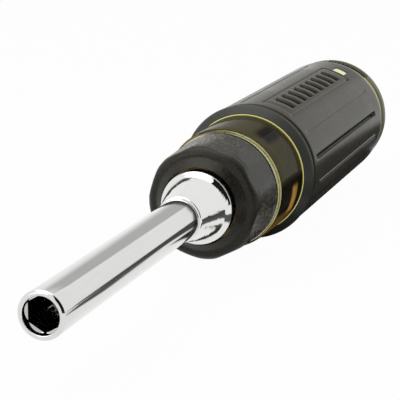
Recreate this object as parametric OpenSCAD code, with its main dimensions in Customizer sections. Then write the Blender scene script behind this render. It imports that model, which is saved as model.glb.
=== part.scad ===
// Ratcheting multi-bit screwdriver with a pull-out bit magazine, lying on its side.
// The bit mouth is at the origin, the axis runs along +X towards the end cap, and +Z is up.
// Angles round the axis start at +Z and grow towards +Y.

/* [Shank and socket] */
// Width across flats of the bits
bit_af = 6.35; // [6.2:0.05:6.5]
// Clearance between a bit and the socket on each flat
socket_fit = 0.04; // [0.02:0.01:0.08]
// Outside diameter of the shank
shank_d = 9.525; // [9.3:0.025:10]
// Length of shank in front of the nose cone
shank_out = 71.6; // [50:0.1:100]
// Length of the round mouth in front of the socket
mouth_len = 1.8; // [1:0.1:3]
// Length of the hexagon socket behind the mouth
socket_len = 18; // [10:0.5:24]
// Diameter of the magnet behind the socket
magnet_d = 5.2; // [4:0.1:5.6]
// Thickness of the magnet
magnet_len = 4; // [2:0.5:6]

/* [Nose cone] */
// Length of the cone from its neck to the front of its rim
cone_len = 11.7; // [8:0.1:16]
// Outer radius of the rim
rim_r = 8.8; // [8.2:0.1:9]
// Radial width of the bevelled rim band
rim_band = 0.9; // [0.5:0.1:1.2]
// Length of the rim from its front to the back of the cone
rim_len = 4.1; // [3:0.1:6]
// Height of the neck above the shank
neck_rise = 0.75; // [0.4:0.05:1]

/* [Selector collar] */
// How far the rim stands in front of the collar
collar_setback = 1.1; // [0.5:0.1:2]
// Length of the collar
collar_len = 16.5; // [15.5:0.1:20]
// Radius of the collar at its front corners
collar_r = 13.5; // [13.4:0.05:13.7]
// Radius of the collar at its back edge
collar_back_r = 13.9; // [13.8:0.05:14.1]
// Radial width of the bevelled front face
collar_face_w = 2; // [1.4:0.1:2.6]
// Number of flats round the collar
collar_flats = 8; // [6:1:10]
// Depth of each flat at the front below the corners
flat_depth = 0.42; // [0.2:0.02:0.5]
// Turn of the selector each way from the locked position, in degrees
selector_turn = 20; // [16:1:22]

/* [Ratchet] */
// Number of teeth on the gear
gear_teeth = 24; // [24:12:24]
// Tip radius of the gear
gear_r = 6; // [5.9:0.05:6.1]
// Height of the teeth
tooth_h = 1.2; // [1:0.05:1.3]
// Width of the gear
gear_w = 5.6; // [4:0.1:7]
// Radius of the spindle behind the shank
spindle_r = 3.5; // [3:0.1:3.6]
// Wall of the housing round the pawls
housing_wall = 0.9; // [0.7:0.05:1]
// Turn of each pawl each way from the locked position, in degrees
pawl_turn = 9; // [8:0.5:9.5]
// Length of the housing behind the collar, inside the handle
housing_back = 16.2; // [12:0.1:17]

/* [Handle core] */
// Outer radius of the core at its front
core_front_r = 14.6; // [14.3:0.05:14.8]
// Outer radius of the core under the grip
core_r = 15; // [14.9:0.05:15.3]
// Length of bare core between the collar and the grip
core_bare = 18.3; // [14:0.1:24]
// Radius of the magazine bore
magazine_r = 13.1; // [13:0.05:13.3]
// Thickness of the wall between the ratchet and the magazine
partition = 9.8; // [4:0.1:12]

/* [Grip] */
// Thickness of the rubber round the core
grip_wall = 1.9; // [1.5:0.05:2.2]
// Length of the grip sleeve beyond the length of a bit
grip_spare = 25.1; // [24.5:0.1:30]
// Height of the front flange above the grip
flange_rise = 0.2; // [0.1:0.05:0.6]
// Length of the front flange
flange_len = 3.7; // [2.5:0.1:5]
// Depth of the four long grooves
groove_depth = 0.8; // [0.3:0.05:1]
// Width of the four long grooves
groove_w = 1; // [0.6:0.1:2]
// Height of the four long ribs above the grip
rib_rise = 0.3; // [0.1:0.05:0.5]
// Angle of the middle of the side panel, in degrees
panel_angle = -20; // [-30:1:-10]
// Depth of the side panel
panel_depth = 0.3; // [0.1:0.05:0.5]

/* [Magazine and cap] */
// Number of bits in the magazine
bit_count = 7; // [5:1:7]
// Length of a double-ended bit
bit_len = 57; // [50:0.5:60]
// Radius of the circle of bits
bit_ring_r = 9.4; // [9.35:0.05:9.5]
// How much further than the length of a bit the magazine pulls out
pull_spare = 7.5; // [3:0.5:8]
// Outer radius of the end cap
cap_r = 16.4; // [15.9:0.05:16.6]
// Length of the end cap outside the handle
cap_len = 7.4; // [6:0.1:10]

/* [Hidden] */

// Overrun of every cut
over = 1;
// Free gap between parts that turn or slide past each other
gap = 0.3;
// Running clearance on a journal
running = 0.05;
// Round surfaces
$fn = 96;
// Angles of the steps of a quarter-round edge and of the crown of the cap
quarter = [0 : 90 / 6 : 90];
crown = [0 : 90 / 8 : 90];

// Shank
shank_r = shank_d / 2;
bit_corner_r = bit_af / 2 / cos(30);
mouth_ease = 0.04;
mouth_r = bit_corner_r + mouth_ease;
mouth_edge = 0.45;
seat_drop = 0.16;
seat_r = shank_r - seat_drop;
socket_corner_r = (bit_af / 2 + socket_fit) / cos(30);
magnet_x = mouth_len + socket_len;
drill_len = 1.5;

// Nose cone
cone_x = shank_out;
rim_x = cone_x + cone_len;
cone_back_x = rim_x + rim_len;
neck_len = 0.8;
rim_bevel = 0.7;
rim_edge = 0.25;

// Selector collar
collar_x = rim_x + collar_setback;
collar_back_x = collar_x + collar_len;
collar_bore_r = rim_r + gap;
face_r = collar_bore_r + collar_face_w;
lip_len = 2.6;
lip_x = collar_x + collar_face_w;
lip_back_x = lip_x + lip_len;
edge_line = 0.3;
collar_wall = 1.3;
collar_edge = 0.3;
collar_front_wall = 3.1;
flat_run_share = 0.8;
first_flat_angle = 27.5;

// Ratchet housing, from the outside in
cam_out_r = collar_r - collar_wall;
cam_ring_w = 1.7;
housing_r = cam_out_r - cam_ring_w;
cavity_r = housing_r - housing_wall;
cover_x = collar_x + collar_front_wall + gap;
cover_len = 3.2;
cover_lip = 0.8;
cover_r = housing_r + cover_lip;
housing_x = cover_x + cover_len;
cavity_play = 0.4;
cavity_len = gear_w + 2 * cavity_play;
cavity_back_x = housing_x + cavity_len;
gear_x = housing_x + cavity_play;
cam_x = housing_x + gap / 2;
cam_back_x = collar_back_x - gap;
journal_x = cavity_back_x - gap;

// Spindle bearings
front_bush_wall = 1.2;
rear_bush_wall = 1.6;
rear_bush_len = 6;
washer_t = 0.8;
washer_w = 2.4;
washer_play = 0.1;
clip_t = 1;
clip_depth = 0.6;
clip_w = 2.2;
spindle_end = 2.6;
rear_bush_x = cavity_back_x;
washer_x = rear_bush_x + rear_bush_len + washer_play;
clip_x = washer_x + washer_t + washer_play;
spindle_end_x = clip_x + clip_t + spindle_end;
pocket_r = spindle_r + rear_bush_wall + washer_w / 2;

// Gear teeth and pawls, as angles in the section seen from the tail
pitch = 360 / gear_teeth;
root_r = gear_r - tooth_h;
crest_half_share = 0.085;
foot_half_share = 0.2;
pin_r = 0.75;
eye_r = 1.35;
pin_grip = 2;
eye_gap = 0.25;
pivot_r = cavity_r - eye_r - eye_gap;
pivot_angle = 90 + pitch / 2 + 28.5;
gap_angle = 90 + pitch / 2;
root_clear = 0.1;
beak_r = root_r + root_clear;
beak_tip_half = 0.18;
beak_slope_share = 0.27;
beak_top = 2.5;
tail_r = 0.6;
tail_sink = 0.05;
tail_reach = housing_r - tail_sink;
tail_angle = pivot_angle + 21;
tail_clear = 0.1;
window_half = 17;
window_shift = 8;
cam_rise = 0.9;
cam_run = 34.6;
cam_span = 27;
cam_step = 3;
cam_rest_r = cam_out_r - 0.5 * cam_ring_w;

// Selector detent
ball_r = 0.6;
ball_ease = 0.08;
detent_r = (housing_r + cam_out_r) / 2;
detent_groove = 0.5;
detent_dimple = 0.16;
detent_bore_len = 5.4;
detent_angle = 180;
detent_spare = 4;
spring_wire_r = 0.14;
spring_turns = 6;
spring_steps = 12;
spring_sides = 6;

// Spacer ring behind the collar
spacer_x = collar_back_x + gap;
spacer_t = 0.6;
spacer_rise = 0.1;
spacer_r = collar_back_r + spacer_rise;

// Handle core
core_x = spacer_x + spacer_t;
housing_end_x = core_x + housing_back;
core_step_drop = 0.4;
core_step_r = core_front_r - core_step_drop;
core_step = 0.9;
core_blend = 0.5;
spline_count = 8;
spline_w = 1.8;
spline_h = 0.7;
spline_start = 2;
magazine_x = housing_end_x + partition;
grip_x = core_x + core_bare;
grip_len = bit_len + grip_spare;
grip_end_x = grip_x + grip_len;
core_lip = 0.6;
core_end_x = grip_end_x + core_lip;
core_lip_rise = 0.8;
core_lip_r = core_r + core_lip_rise;
guide_w = 2.2;
guide_h = 0.75;
guide_angles = [70, 250];

// Grip sleeve
grip_r = core_r + grip_wall;
flange_r = grip_r + flange_rise;
flange_round = 1.5;
front_groove_w = 1.2;
front_groove_depth = 0.6;
end_round = 4.4;
end_drop = 1.4;
groove_inset = 7.5;
groove_end_inset = 11;
groove_angles = [-57, 57, 123, -123];
rib_angles = [-80, 80, 100, -100];
rib_r = 0.5;
panel_inset = 9;
panel_back = 16.1;
panel_len = grip_len - panel_inset - panel_back;
panel_half = 14;
window_len = 3.2;
window_half_angle = 7.2;
window_back = 14.6;
window_ease = 0.04;
window_sink = 0.15;

// Magazine
hub_ease = 0.1;
hub_r = bit_ring_r - bit_af / 2 - hub_ease;
disc_ease = 0.35;
disc_r = magazine_r - disc_ease;
disc_t = 2.5;
pocket_ease = 0.08;
clip_snap = 0.4;
clip_mouth = bit_af - clip_snap;
clip_disc_t = 3;
clip_share = [0.24, 0.72];
key_w = guide_w - 2 * gap;
key_rise = 0.5;
carrier_setback = 1;
carrier_x = magazine_x + carrier_setback;
magazine_travel = bit_len + pull_spare;
stop_gap = 0.7;
guide_end_x = carrier_x + disc_t + magazine_travel + stop_gap;
bit_inset = 5.7;
bit_back_x = grip_end_x - bit_inset;
bit_x = bit_back_x - bit_len;
rest_x = bit_x - gap - disc_t;
spigot_x = bit_back_x + gap;
spigot_fit = 0.1;
spigot_r = magazine_r - spigot_fit;
hub_fit = 0.05;
hub_seat = 4.5;
seal_wire_r = 0.7;
seal_ease = 0.1;
seal_squeeze = 0.05;
seal_ring_r = magazine_r - seal_squeeze - seal_wire_r;
seal_inset = 2.6;
seal_x = spigot_x + seal_inset;

// End cap
cap_x = core_end_x + gap;
cap_edge = 0.8;
cap_side = 2.4;
cap_flat_r = 8.5;
cap_hollow_r = 7.5;
cap_hollow = 0.5;
cap_end_x = cap_x + cap_len;
notch_half = 22.5;
notch_depth = 1.5;
notch_in = 1.8;

// Bit ends
neck_r = 2.7;
neck_bevel = 0.6;
tip_len = 9;
tip_kinds = [
    ["cross", 5.4], ["blade", 5.6], ["cross", 4.4], ["blade", 4.4],
    ["square", 2.9], ["square", 2.4], ["lobe", 4.4], ["lobe", 3.8],
    ["lobe", 3.3], ["lobe", 2.8], ["hexagon", 4], ["hexagon", 3],
    ["cross", 5.9], ["blade", 3.6]
];

// A revolved outline about the X axis, with points written as radius and place along X
module turned(points) {
    rotate([0, 90, 0]) rotate_extrude() polygon(points);
}

// A ring sector about the X axis between two radii, centred on an angle
module sector(x, length, inner_r, outer_r, angle, half) {
    translate([x, 0, 0])
        rotate([0, 90, 0])
            rotate([0, 0, 180 - angle - half])
                rotate_extrude(angle = 2 * half)
                    translate([inner_r, 0])
                        square([outer_r - inner_r, length]);
}

// A plain cylinder along X
module rod(x, length, r) {
    translate([x, 0, 0]) rotate([0, 90, 0]) cylinder(h = length, r = r);
}

// A flat outline in the section plane, with its first axis along Y and its second along Z, drawn out along X
module drawn(x, length) {
    translate([x, 0, 0]) rotate([90, 0, 90]) linear_extrude(height = length) children();
}

// Places what is drawn above the axis at an angle round it
module around(angle) {
    rotate([-angle, 0, 0]) children();
}

// Places a piece in the section plane at a radius and an angle from +Y
function polar(r, a) = [r * cos(a), r * sin(a)];

// Turns a point about a centre
function turned_about(p, c, a) = [
    c[0] + (p[0] - c[0]) * cos(a) - (p[1] - c[1]) * sin(a),
    c[1] + (p[0] - c[0]) * sin(a) + (p[1] - c[1]) * cos(a)
];

// A coil of round wire along Z, as one closed tube
module coil(r, wire_r, turns, length) {
    count = turns * spring_steps;
    points = [
        for (i = [0 : count]) let (a = i * 360 / spring_steps, z = wire_r + i * (length - 2 * wire_r) / count)
            for (k = [0 : spring_sides - 1]) let (b = k * 360 / spring_sides)
                [(r + wire_r * cos(b)) * cos(a), (r + wire_r * cos(b)) * sin(a), z + wire_r * sin(b)]
    ];
    sides = [
        for (i = [0 : count - 1]) for (k = [0 : spring_sides - 1])
            let (n = (k + 1) % spring_sides, a = i * spring_sides, b = (i + 1) * spring_sides)
                [a + k, b + k, b + n, a + n]
    ];
    ends = [
        [for (k = [0 : spring_sides - 1]) k],
        [for (k = [spring_sides - 1 : -1 : 0]) count * spring_sides + k]
    ];
    polyhedron(points = points, faces = concat(sides, ends), convexity = turns);
}

// Shank with its socket in front and the spindle behind
module shank_tube() {
    color("lightsteelblue")
    difference() {
        turned([
            [0, 0], [shank_r - mouth_edge, 0], [shank_r, mouth_edge],
            [shank_r, cone_x], [seat_r, cone_x],
            [seat_r, gear_x], [spindle_r, gear_x],
            [spindle_r, clip_x], [spindle_r - clip_depth, clip_x],
            [spindle_r - clip_depth, clip_x + clip_t], [spindle_r, clip_x + clip_t],
            [spindle_r, spindle_end_x - mouth_edge], [spindle_r - mouth_edge, spindle_end_x], [0, spindle_end_x]
        ]);
        rod(-over, mouth_len + over, mouth_r);
        rod(-over, magnet_x + over, socket_corner_r, $fn = 6);
        rod(magnet_x, magnet_len, magnet_d / 2);
        turned([[0, magnet_x + magnet_len - over], [magnet_d / 2, magnet_x + magnet_len - over],
            [magnet_d / 2, magnet_x + magnet_len], [0, magnet_x + magnet_len + drill_len]]);
    }
}

// Magnet at the bottom of the socket
module socket_magnet() {
    color("silver") rod(magnet_x, magnet_len, magnet_d / 2);
}

// Chromed nose cone pressed on the shank
module nose_cone() {
    color("gainsboro")
    turned([
        [seat_r, cone_x],
        for (t = quarter)
            [shank_r + neck_rise * sin(t), cone_x + neck_len * (1 - cos(t))],
        [rim_r - rim_band, rim_x - rim_bevel],
        [rim_r - rim_edge, rim_x],
        [rim_r, rim_x + rim_edge],
        [rim_r, cone_back_x - rim_edge],
        [rim_r - rim_edge, cone_back_x],
        [seat_r, cone_back_x]
    ]);
}

// Outline of the gear in the section plane
module gear_outline() {
    difference() {
        polygon([
            for (i = [0 : gear_teeth - 1]) let (a = 90 + i * pitch) each [
                polar(root_r, a - foot_half_share * pitch),
                polar(gear_r, a - crest_half_share * pitch),
                polar(gear_r, a + crest_half_share * pitch),
                polar(root_r, a + foot_half_share * pitch)
            ]
        ]);
        circle(r = spindle_r);
    }
}

// Toothed gear pressed on the spindle
module ratchet_gear() {
    color("slategray") drawn(gear_x, gear_w) gear_outline();
}

// Washer behind the rear bush
module thrust_washer() {
    color("silver")
    difference() {
        rod(washer_x, washer_t, spindle_r + washer_w);
        rod(washer_x - over, washer_t + 2 * over, spindle_r);
    }
}

// Open retaining ring in its groove on the spindle
module retaining_ring() {
    color("dimgray")
    difference() {
        rod(clip_x, clip_t, spindle_r + clip_w - clip_depth);
        rod(clip_x - over, clip_t + 2 * over, spindle_r - clip_depth);
        translate([clip_x - over, -spindle_r / 2, 0])
            cube([clip_t + 2 * over, spindle_r, 2 * spindle_r]);
    }
}

// One slanted flat on the outside of the collar
module collar_flat() {
    run = flat_run_share * collar_len;
    drop = flat_depth + (collar_back_r - collar_r) * run / collar_len;
    width = 2 * collar_r;
    translate([lip_back_x, 0, collar_r - flat_depth])
        rotate([0, -atan(drop / run), 0])
            translate([-width, -width / 2, 0])
                cube([2 * width, width, width / 2]);
}

// Octagonal selector collar that the fingers turn
module selector_collar() {
    lip_w = collar_r - face_r;
    color("darkslategray")
    difference() {
        turned([
            [collar_bore_r, collar_x],
            [face_r, lip_x],
            for (t = quarter)
                [face_r + lip_w * sin(t), lip_back_x - lip_len * cos(t)],
            [collar_r - edge_line / 2, lip_back_x + edge_line / 2],
            [collar_r, lip_back_x + edge_line],
            [collar_back_r, collar_back_x - collar_edge],
            [collar_back_r - collar_edge, collar_back_x],
            [cam_out_r, collar_back_x],
            [cam_out_r, collar_x + collar_front_wall],
            [collar_bore_r, collar_x + collar_front_wall]
        ]);
        for (i = [0 : collar_flats - 1])
            around(first_flat_angle + i * 360 / collar_flats) collar_flat();
    }
}

// Radius of the cam for the tail of pawl A at an angle in the section plane
function cam_radius(a) = tail_reach + tail_r + tail_clear + cam_rise * (a - tail_angle) / cam_run;

// Opening of the cam: a ramp over each tail and a plain radius elsewhere
module cam_opening() {
    ramp_a = [for (a = [tail_angle - cam_span : cam_step : tail_angle + cam_span]) polar(cam_radius(a), a)];
    ramp_b = [for (a = [tail_angle + cam_span : -cam_step : tail_angle - cam_span])
        polar(cam_radius(a), 180 - a)];
    low = [for (a = [tail_angle + cam_span + cam_step : cam_step : 540 - tail_angle - cam_span - cam_step])
        polar(cam_rest_r, a)];
    top = [for (a = [180 - tail_angle + cam_span + cam_step : cam_step : tail_angle - cam_span - cam_step])
        polar(cam_rest_r, a)];
    polygon(concat(ramp_b, top, ramp_a, low));
}

// Cam ring pressed into the collar
module selector_cam() {
    color("gray")
    difference() {
        rod(cam_x, cam_back_x - cam_x, cam_out_r);
        drawn(cam_x - over, journal_x - cam_x + over) cam_opening();
        rod(cam_x - over, cam_back_x - cam_x + 2 * over, housing_r + running);
        sector(cam_back_x - detent_groove, detent_groove + over, detent_r - ball_r - ball_ease,
            detent_r + ball_r + ball_ease, detent_angle, selector_turn + detent_spare);
        for (turn = [-selector_turn, 0, selector_turn])
            around(detent_angle + turn)
                translate([spacer_x, 0, detent_r])
                    sphere(r = spacer_x - cam_back_x + detent_groove + detent_dimple, $fn = 48);
    }
}

// Pawl A at rest in the locked position: eye, beak and tail drawn out along X
module pawl_body() {
    pivot = polar(pivot_r, pivot_angle);
    half_angle = atan(beak_tip_half / beak_r);
    wide = beak_tip_half + beak_slope_share * (gear_r - beak_r);
    wide_angle = atan(wide / gear_r);
    beak = [
        polar(beak_r, gap_angle + half_angle),
        polar(gear_r, gap_angle + wide_angle),
        polar(gear_r + 3 * root_clear, gap_angle + 2 * wide_angle),
        polar(pivot_r - eye_r, pivot_angle),
        pivot,
        polar(pivot_r + eye_r * cos(50), pivot_angle - 8),
        polar(beak_r + beak_top, gap_angle + wide_angle),
        polar(gear_r + 3 * root_clear, gap_angle - 1.3 * wide_angle),
        polar(gear_r, gap_angle - wide_angle),
        polar(beak_r, gap_angle - half_angle)
    ];
    tail = polar(tail_reach, tail_angle);
    slant = atan2(tail[1] - pivot[1], tail[0] - pivot[0]);
    side = polar(tail_r, slant + 90);
    difference() {
        union() {
            drawn(gear_x, gear_w) polygon([for (p = beak) turned_about(p, pivot, pawl_turn)]);
            translate([0, pivot[0], pivot[1]]) rod(gear_x, gear_w, eye_r, $fn = 48);
            drawn(gear_x, gear_w)
                polygon([pivot + eye_r / tail_r * side, tail + side, tail - side, pivot - eye_r / tail_r * side]);
            translate([0, tail[0], tail[1]]) rod(gear_x, gear_w, tail_r, $fn = 48);
        }
        translate([0, pivot[0], pivot[1]]) rod(gear_x - over, gear_w + 2 * over, pin_r + running, $fn = 48);
    }
}

// Pawl that stops the gear one way
module pawl_a() {
    color("lightslategray") pawl_body();
}

// Mirrored pawl that stops the gear the other way
module pawl_b() {
    color("lightslategray") mirror([0, 1, 0]) pawl_body();
}

// Pin of pawl A
module pawl_pin(side) {
    p = polar(pivot_r, pivot_angle);
    color("silver")
    translate([0, side * p[0], p[1]])
        rod(housing_x - pin_grip, cavity_len + 2 * pin_grip, pin_r);
}

// Pin that pawl A turns on
module pawl_pin_a() {
    pawl_pin(1);
}

// Pin that pawl B turns on
module pawl_pin_b() {
    pawl_pin(-1);
}

// Bent leaf spring over the beaks of both pawls
module pawl_spring() {
    leaf = 0.2;
    reach = 3.1;
    drop = 0.9;
    foot = 1.2;
    spring_sink = 0.14;
    top = cavity_r - spring_sink;
    color("goldenrod")
    drawn(gear_x + gear_w / 4, gear_w / 2)
        polygon([
            [-foot, top], [foot, top], [reach, top - drop],
            [reach, top - drop - leaf], [foot, top - leaf], [-foot, top - leaf],
            [-reach, top - drop - leaf], [-reach, top - drop]
        ]);
}

// Housing that holds the gear and pawls and is splined into the handle
module ratchet_housing() {
    pin_at = polar(pivot_r, pivot_angle);
    color("darkgoldenrod")
    difference() {
        union() {
            rod(housing_x, housing_end_x - housing_x, housing_r);
            for (i = [0 : spline_count - 1])
                around((i + 0.5) * 360 / spline_count)
                    translate([core_x + spline_start, -spline_w / 2, housing_r - over])
                        cube([housing_back - spline_start, spline_w, spline_h + over]);
        }
        rod(housing_x - over, cavity_len + over, cavity_r);
        rod(housing_x, housing_end_x, spindle_r + rear_bush_wall);
        rod(rear_bush_x + rear_bush_len, housing_end_x, pocket_r);
        for (side = [-1, 1])
            translate([0, side * pin_at[0], pin_at[1]])
                rod(cavity_back_x - over, pin_grip + over, pin_r);
        for (side = [-1, 1])
            sector(housing_x - over, cavity_len + over, cavity_r - over, housing_r + over,
                side * (90 - tail_angle + window_shift), window_half);
    }
}

// Cover that closes the housing and keeps the collar on
module housing_cover() {
    pin_at = polar(pivot_r, pivot_angle);
    color("darkgoldenrod")
    difference() {
        turned([
            [seat_r + running + front_bush_wall, cover_x],
            [cover_r - edge_line, cover_x],
            [cover_r, cover_x + edge_line],
            [cover_r, housing_x - gap / 2],
            [housing_r, housing_x - gap / 2],
            [housing_r, housing_x],
            [seat_r + running + front_bush_wall, housing_x]
        ]);
        for (side = [-1, 1])
            translate([0, side * pin_at[0], pin_at[1]])
                rod(housing_x - pin_grip, pin_grip + over, pin_r);
    }
}

// Plain bush
module bush(x, length, inner_r, wall) {
    color("peru")
    difference() {
        rod(x, length, inner_r + wall);
        rod(x - over, length + 2 * over, inner_r);
    }
}

// Bush of the shank in the cover
module front_bush() {
    bush(cover_x, cover_len, seat_r + running, front_bush_wall);
}

// Bush of the spindle in the housing
module rear_bush() {
    bush(rear_bush_x, rear_bush_len, spindle_r + running, rear_bush_wall - running);
}

// Steel ring between the collar and the handle
module spacer_ring() {
    color("lightgray")
    difference() {
        rod(spacer_x, spacer_t, spacer_r);
        rod(spacer_x - over, spacer_t + 2 * over, housing_r);
        around(detent_angle) translate([0, 0, detent_r])
            rod(spacer_x - over, spacer_t + 2 * over, ball_r + ball_ease);
    }
}

// Ball that clicks into the three dimples of the cam
module detent_ball() {
    color("silver")
    around(detent_angle)
        translate([spacer_x - running, 0, detent_r])
            sphere(r = ball_r, $fn = 48);
}

// Spring behind the ball
module detent_spring() {
    color("silver")
    around(detent_angle)
        translate([spacer_x + ball_r, 0, detent_r])
            rotate([0, 90, 0])
                coil(ball_r - spring_wire_r, spring_wire_r, spring_turns,
                    core_x + detent_bore_len - spacer_x - ball_r);
}

// Smoky clear core of the handle, with the magazine bore behind
module core_body() {
    window_x = grip_end_x - window_back;
    color("olive")
    difference() {
        union() {
            turned([
                [housing_r, core_x],
                [core_step_r, core_x],
                [core_step_r, core_x + core_step],
                for (t = quarter)
                    [core_step_r + (core_front_r - core_step_r) * sin(t),
                        core_x + core_step + core_blend * (1 - cos(t))],
                [core_r, grip_x],
                [core_r, grip_end_x],
                [core_lip_r, grip_end_x],
                [core_lip_r, core_end_x],
                [magazine_r, core_end_x],
                [magazine_r, magazine_x],
                [0, magazine_x],
                [0, housing_end_x],
                [housing_r, housing_end_x]
            ]);
            sector(window_x, window_len, core_r - over, grip_r - window_sink, panel_angle, window_half_angle);
        }
        for (i = [0 : spline_count - 1])
            around((i + 0.5) * 360 / spline_count)
                translate([core_x + spline_start, -spline_w / 2, housing_r - over])
                    cube([housing_back - spline_start, spline_w, spline_h + over]);
        around(detent_angle) translate([0, 0, detent_r])
            rod(core_x - over, detent_bore_len + over, ball_r + ball_ease);
        for (angle = guide_angles)
            around(angle)
                translate([magazine_x, -guide_w / 2, magazine_r - over])
                    cube([guide_end_x - magazine_x, guide_w, guide_h + over]);
    }
}

// A long cut with round ends, drawn above the axis
module long_slot(x, length, width, bottom_r) {
    translate([x + width / 2, -width / 2, bottom_r]) cube([length - width, width, grip_r]);
    for (place = [x + width / 2, x + length - width / 2])
        translate([place, 0, bottom_r]) cylinder(h = grip_r, r = width / 2, $fn = 32);
}

// A long round rib with ball ends, drawn above the axis
module long_rib(x, length) {
    translate([0, 0, grip_r + rib_rise - rib_r]) {
        rod(x + rib_r, length - 2 * rib_r, rib_r, $fn = 32);
        for (place = [x + rib_r, x + length - rib_r])
            translate([place, 0, 0]) sphere(r = rib_r, $fn = 32);
    }
}

// Rubber sleeve of the grip
module grip_sleeve() {
    slot_x = grip_x + groove_inset;
    slot_len = grip_len - groove_inset - groove_end_inset;
    window_x = grip_end_x - window_back;
    back_x = grip_x + flange_len;
    color("dimgray")
    difference() {
        union() {
            turned([
                [core_r, grip_x],
                for (t = quarter)
                    [flange_r - flange_round * (1 - sin(t)), grip_x + flange_round * (1 - cos(t))],
                [flange_r, back_x - edge_line],
                [flange_r - edge_line, back_x],
                [grip_r - front_groove_depth, back_x + edge_line],
                [grip_r - front_groove_depth, back_x + front_groove_w - edge_line],
                [grip_r, back_x + front_groove_w + edge_line],
                for (t = quarter)
                    [grip_r - end_drop * (1 - cos(t)), grip_end_x - end_round * (1 - sin(t))],
                [core_r, grip_end_x]
            ]);
            for (angle = rib_angles)
                around(panel_angle + angle) long_rib(slot_x, slot_len);
        }
        for (angle = groove_angles)
            around(panel_angle + angle) long_slot(slot_x, slot_len, groove_w, grip_r - groove_depth);
        sector(grip_x + panel_inset, panel_len, grip_r - panel_depth, grip_r + over, panel_angle, panel_half);
        sector(window_x - window_ease, window_len + 2 * window_ease, core_r - over, grip_r + over,
            panel_angle, window_half_angle + window_ease / grip_r * 180 / PI);
    }
}

// Outline of a disc that clips the bits, with a pocket and a narrow mouth for each
module clip_outline() {
    difference() {
        circle(r = disc_r);
        for (i = [0 : bit_count - 1])
            rotate(90 + i * 360 / bit_count) translate([bit_ring_r, 0]) {
                rotate(90) circle(r = (bit_af / 2 + pocket_ease) / cos(30), $fn = 6);
                translate([0, -clip_mouth / 2]) square([disc_r, clip_mouth]);
            }
    }
}

// Spine that carries the bits, with a keyed disc in front and two clip discs
module bit_carrier() {
    color("darkslategray")
    union() {
        rod(carrier_x, spigot_x + hub_seat - carrier_x, hub_r);
        rod(carrier_x, disc_t, disc_r);
        rod(rest_x, disc_t, disc_r);
        for (angle = guide_angles)
            around(angle)
                translate([carrier_x, -key_w / 2, disc_r - over])
                    cube([disc_t, key_w, over + magazine_r - disc_r + key_rise]);
        for (share = clip_share)
            drawn(bit_x + share * bit_len, clip_disc_t) clip_outline();
    }
}

// Clear end cap with its spigot, seal groove and fingernail notch
module end_cap() {
    color("gray")
    difference() {
        turned([
            [0, spigot_x],
            [spigot_r - hub_fit, spigot_x],
            [spigot_r, spigot_x + edge_line],
            [spigot_r, seal_x - seal_wire_r - seal_ease],
            [seal_ring_r - seal_wire_r, seal_x - seal_wire_r - seal_ease],
            [seal_ring_r - seal_wire_r, seal_x + seal_wire_r + seal_ease],
            [spigot_r, seal_x + seal_wire_r + seal_ease],
            [spigot_r, cap_x],
            for (t = quarter)
                [cap_r - cap_edge * (1 - sin(t)), cap_x + cap_edge * (1 - cos(t))],
            for (t = crown)
                [cap_flat_r + (cap_r - cap_flat_r) * cos(t),
                    cap_x + cap_side + (cap_len - cap_side) * sin(t)],
            [cap_hollow_r, cap_end_x],
            [cap_hollow_r - cap_hollow, cap_end_x - cap_hollow],
            [0, cap_end_x - cap_hollow]
        ]);
        rod(spigot_x - over, hub_seat + over, hub_r);
        sector(cap_x - over, notch_depth + over, cap_r - notch_in, cap_r + over, panel_angle, notch_half);
    }
}

// Rubber seal ring on the spigot
module cap_seal() {
    color("black")
    rotate([0, 90, 0]) rotate_extrude() translate([seal_ring_r, seal_x]) circle(r = seal_wire_r, $fn = 32);
}

// End of a bit along +Z, from the hexagon to the working tip
module bit_end(kind, size) {
    neck_len_total = tip_len / 2;
    blade_t = size / 5;
    translate([0, 0, -over]) cylinder(h = neck_len_total + over, r = neck_r, $fn = 48);
    if (kind == "cross") {
        difference() {
            union() {
                cylinder(h = tip_len - size / 2, r = size / 2, $fn = 48);
                translate([0, 0, tip_len - size / 2])
                    cylinder(h = size / 2, r1 = size / 2, r2 = size / 8, $fn = 48);
            }
            for (i = [0 : 3])
                rotate([0, 0, 45 + i * 90])
                    translate([size / 8, 0, tip_len])
                        rotate([0, -6, 0])
                            translate([0, 0, -size])
                                rotate([0, 0, -45])
                                    cube([size, size, size + over]);
        }
    }
    if (kind == "blade") {
        intersection() {
            cylinder(h = tip_len, r = size / 2, $fn = 48);
            rotate([90, 0, 0])
                linear_extrude(height = 2 * size, center = true)
                    polygon([
                        [-neck_r, 0], [neck_r, 0], [neck_r, neck_len_total],
                        [blade_t / 2, tip_len - size / 4], [blade_t / 2, tip_len],
                        [-blade_t / 2, tip_len], [-blade_t / 2, tip_len - size / 4], [-neck_r, neck_len_total]
                    ]);
        }
    }
    if (kind == "square") {
        cylinder(h = tip_len, r = size / sqrt(2), $fn = 4);
    }
    if (kind == "hexagon") {
        cylinder(h = tip_len, r = size / 2 / cos(30), $fn = 6);
    }
    if (kind == "lobe") {
        linear_extrude(height = tip_len)
            difference() {
                circle(r = size / 2, $fn = 48);
                for (i = [0 : 5])
                    rotate(i * 60) translate([size * 0.53, 0]) circle(r = size * 0.13, $fn = 32);
            }
    }
}

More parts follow.
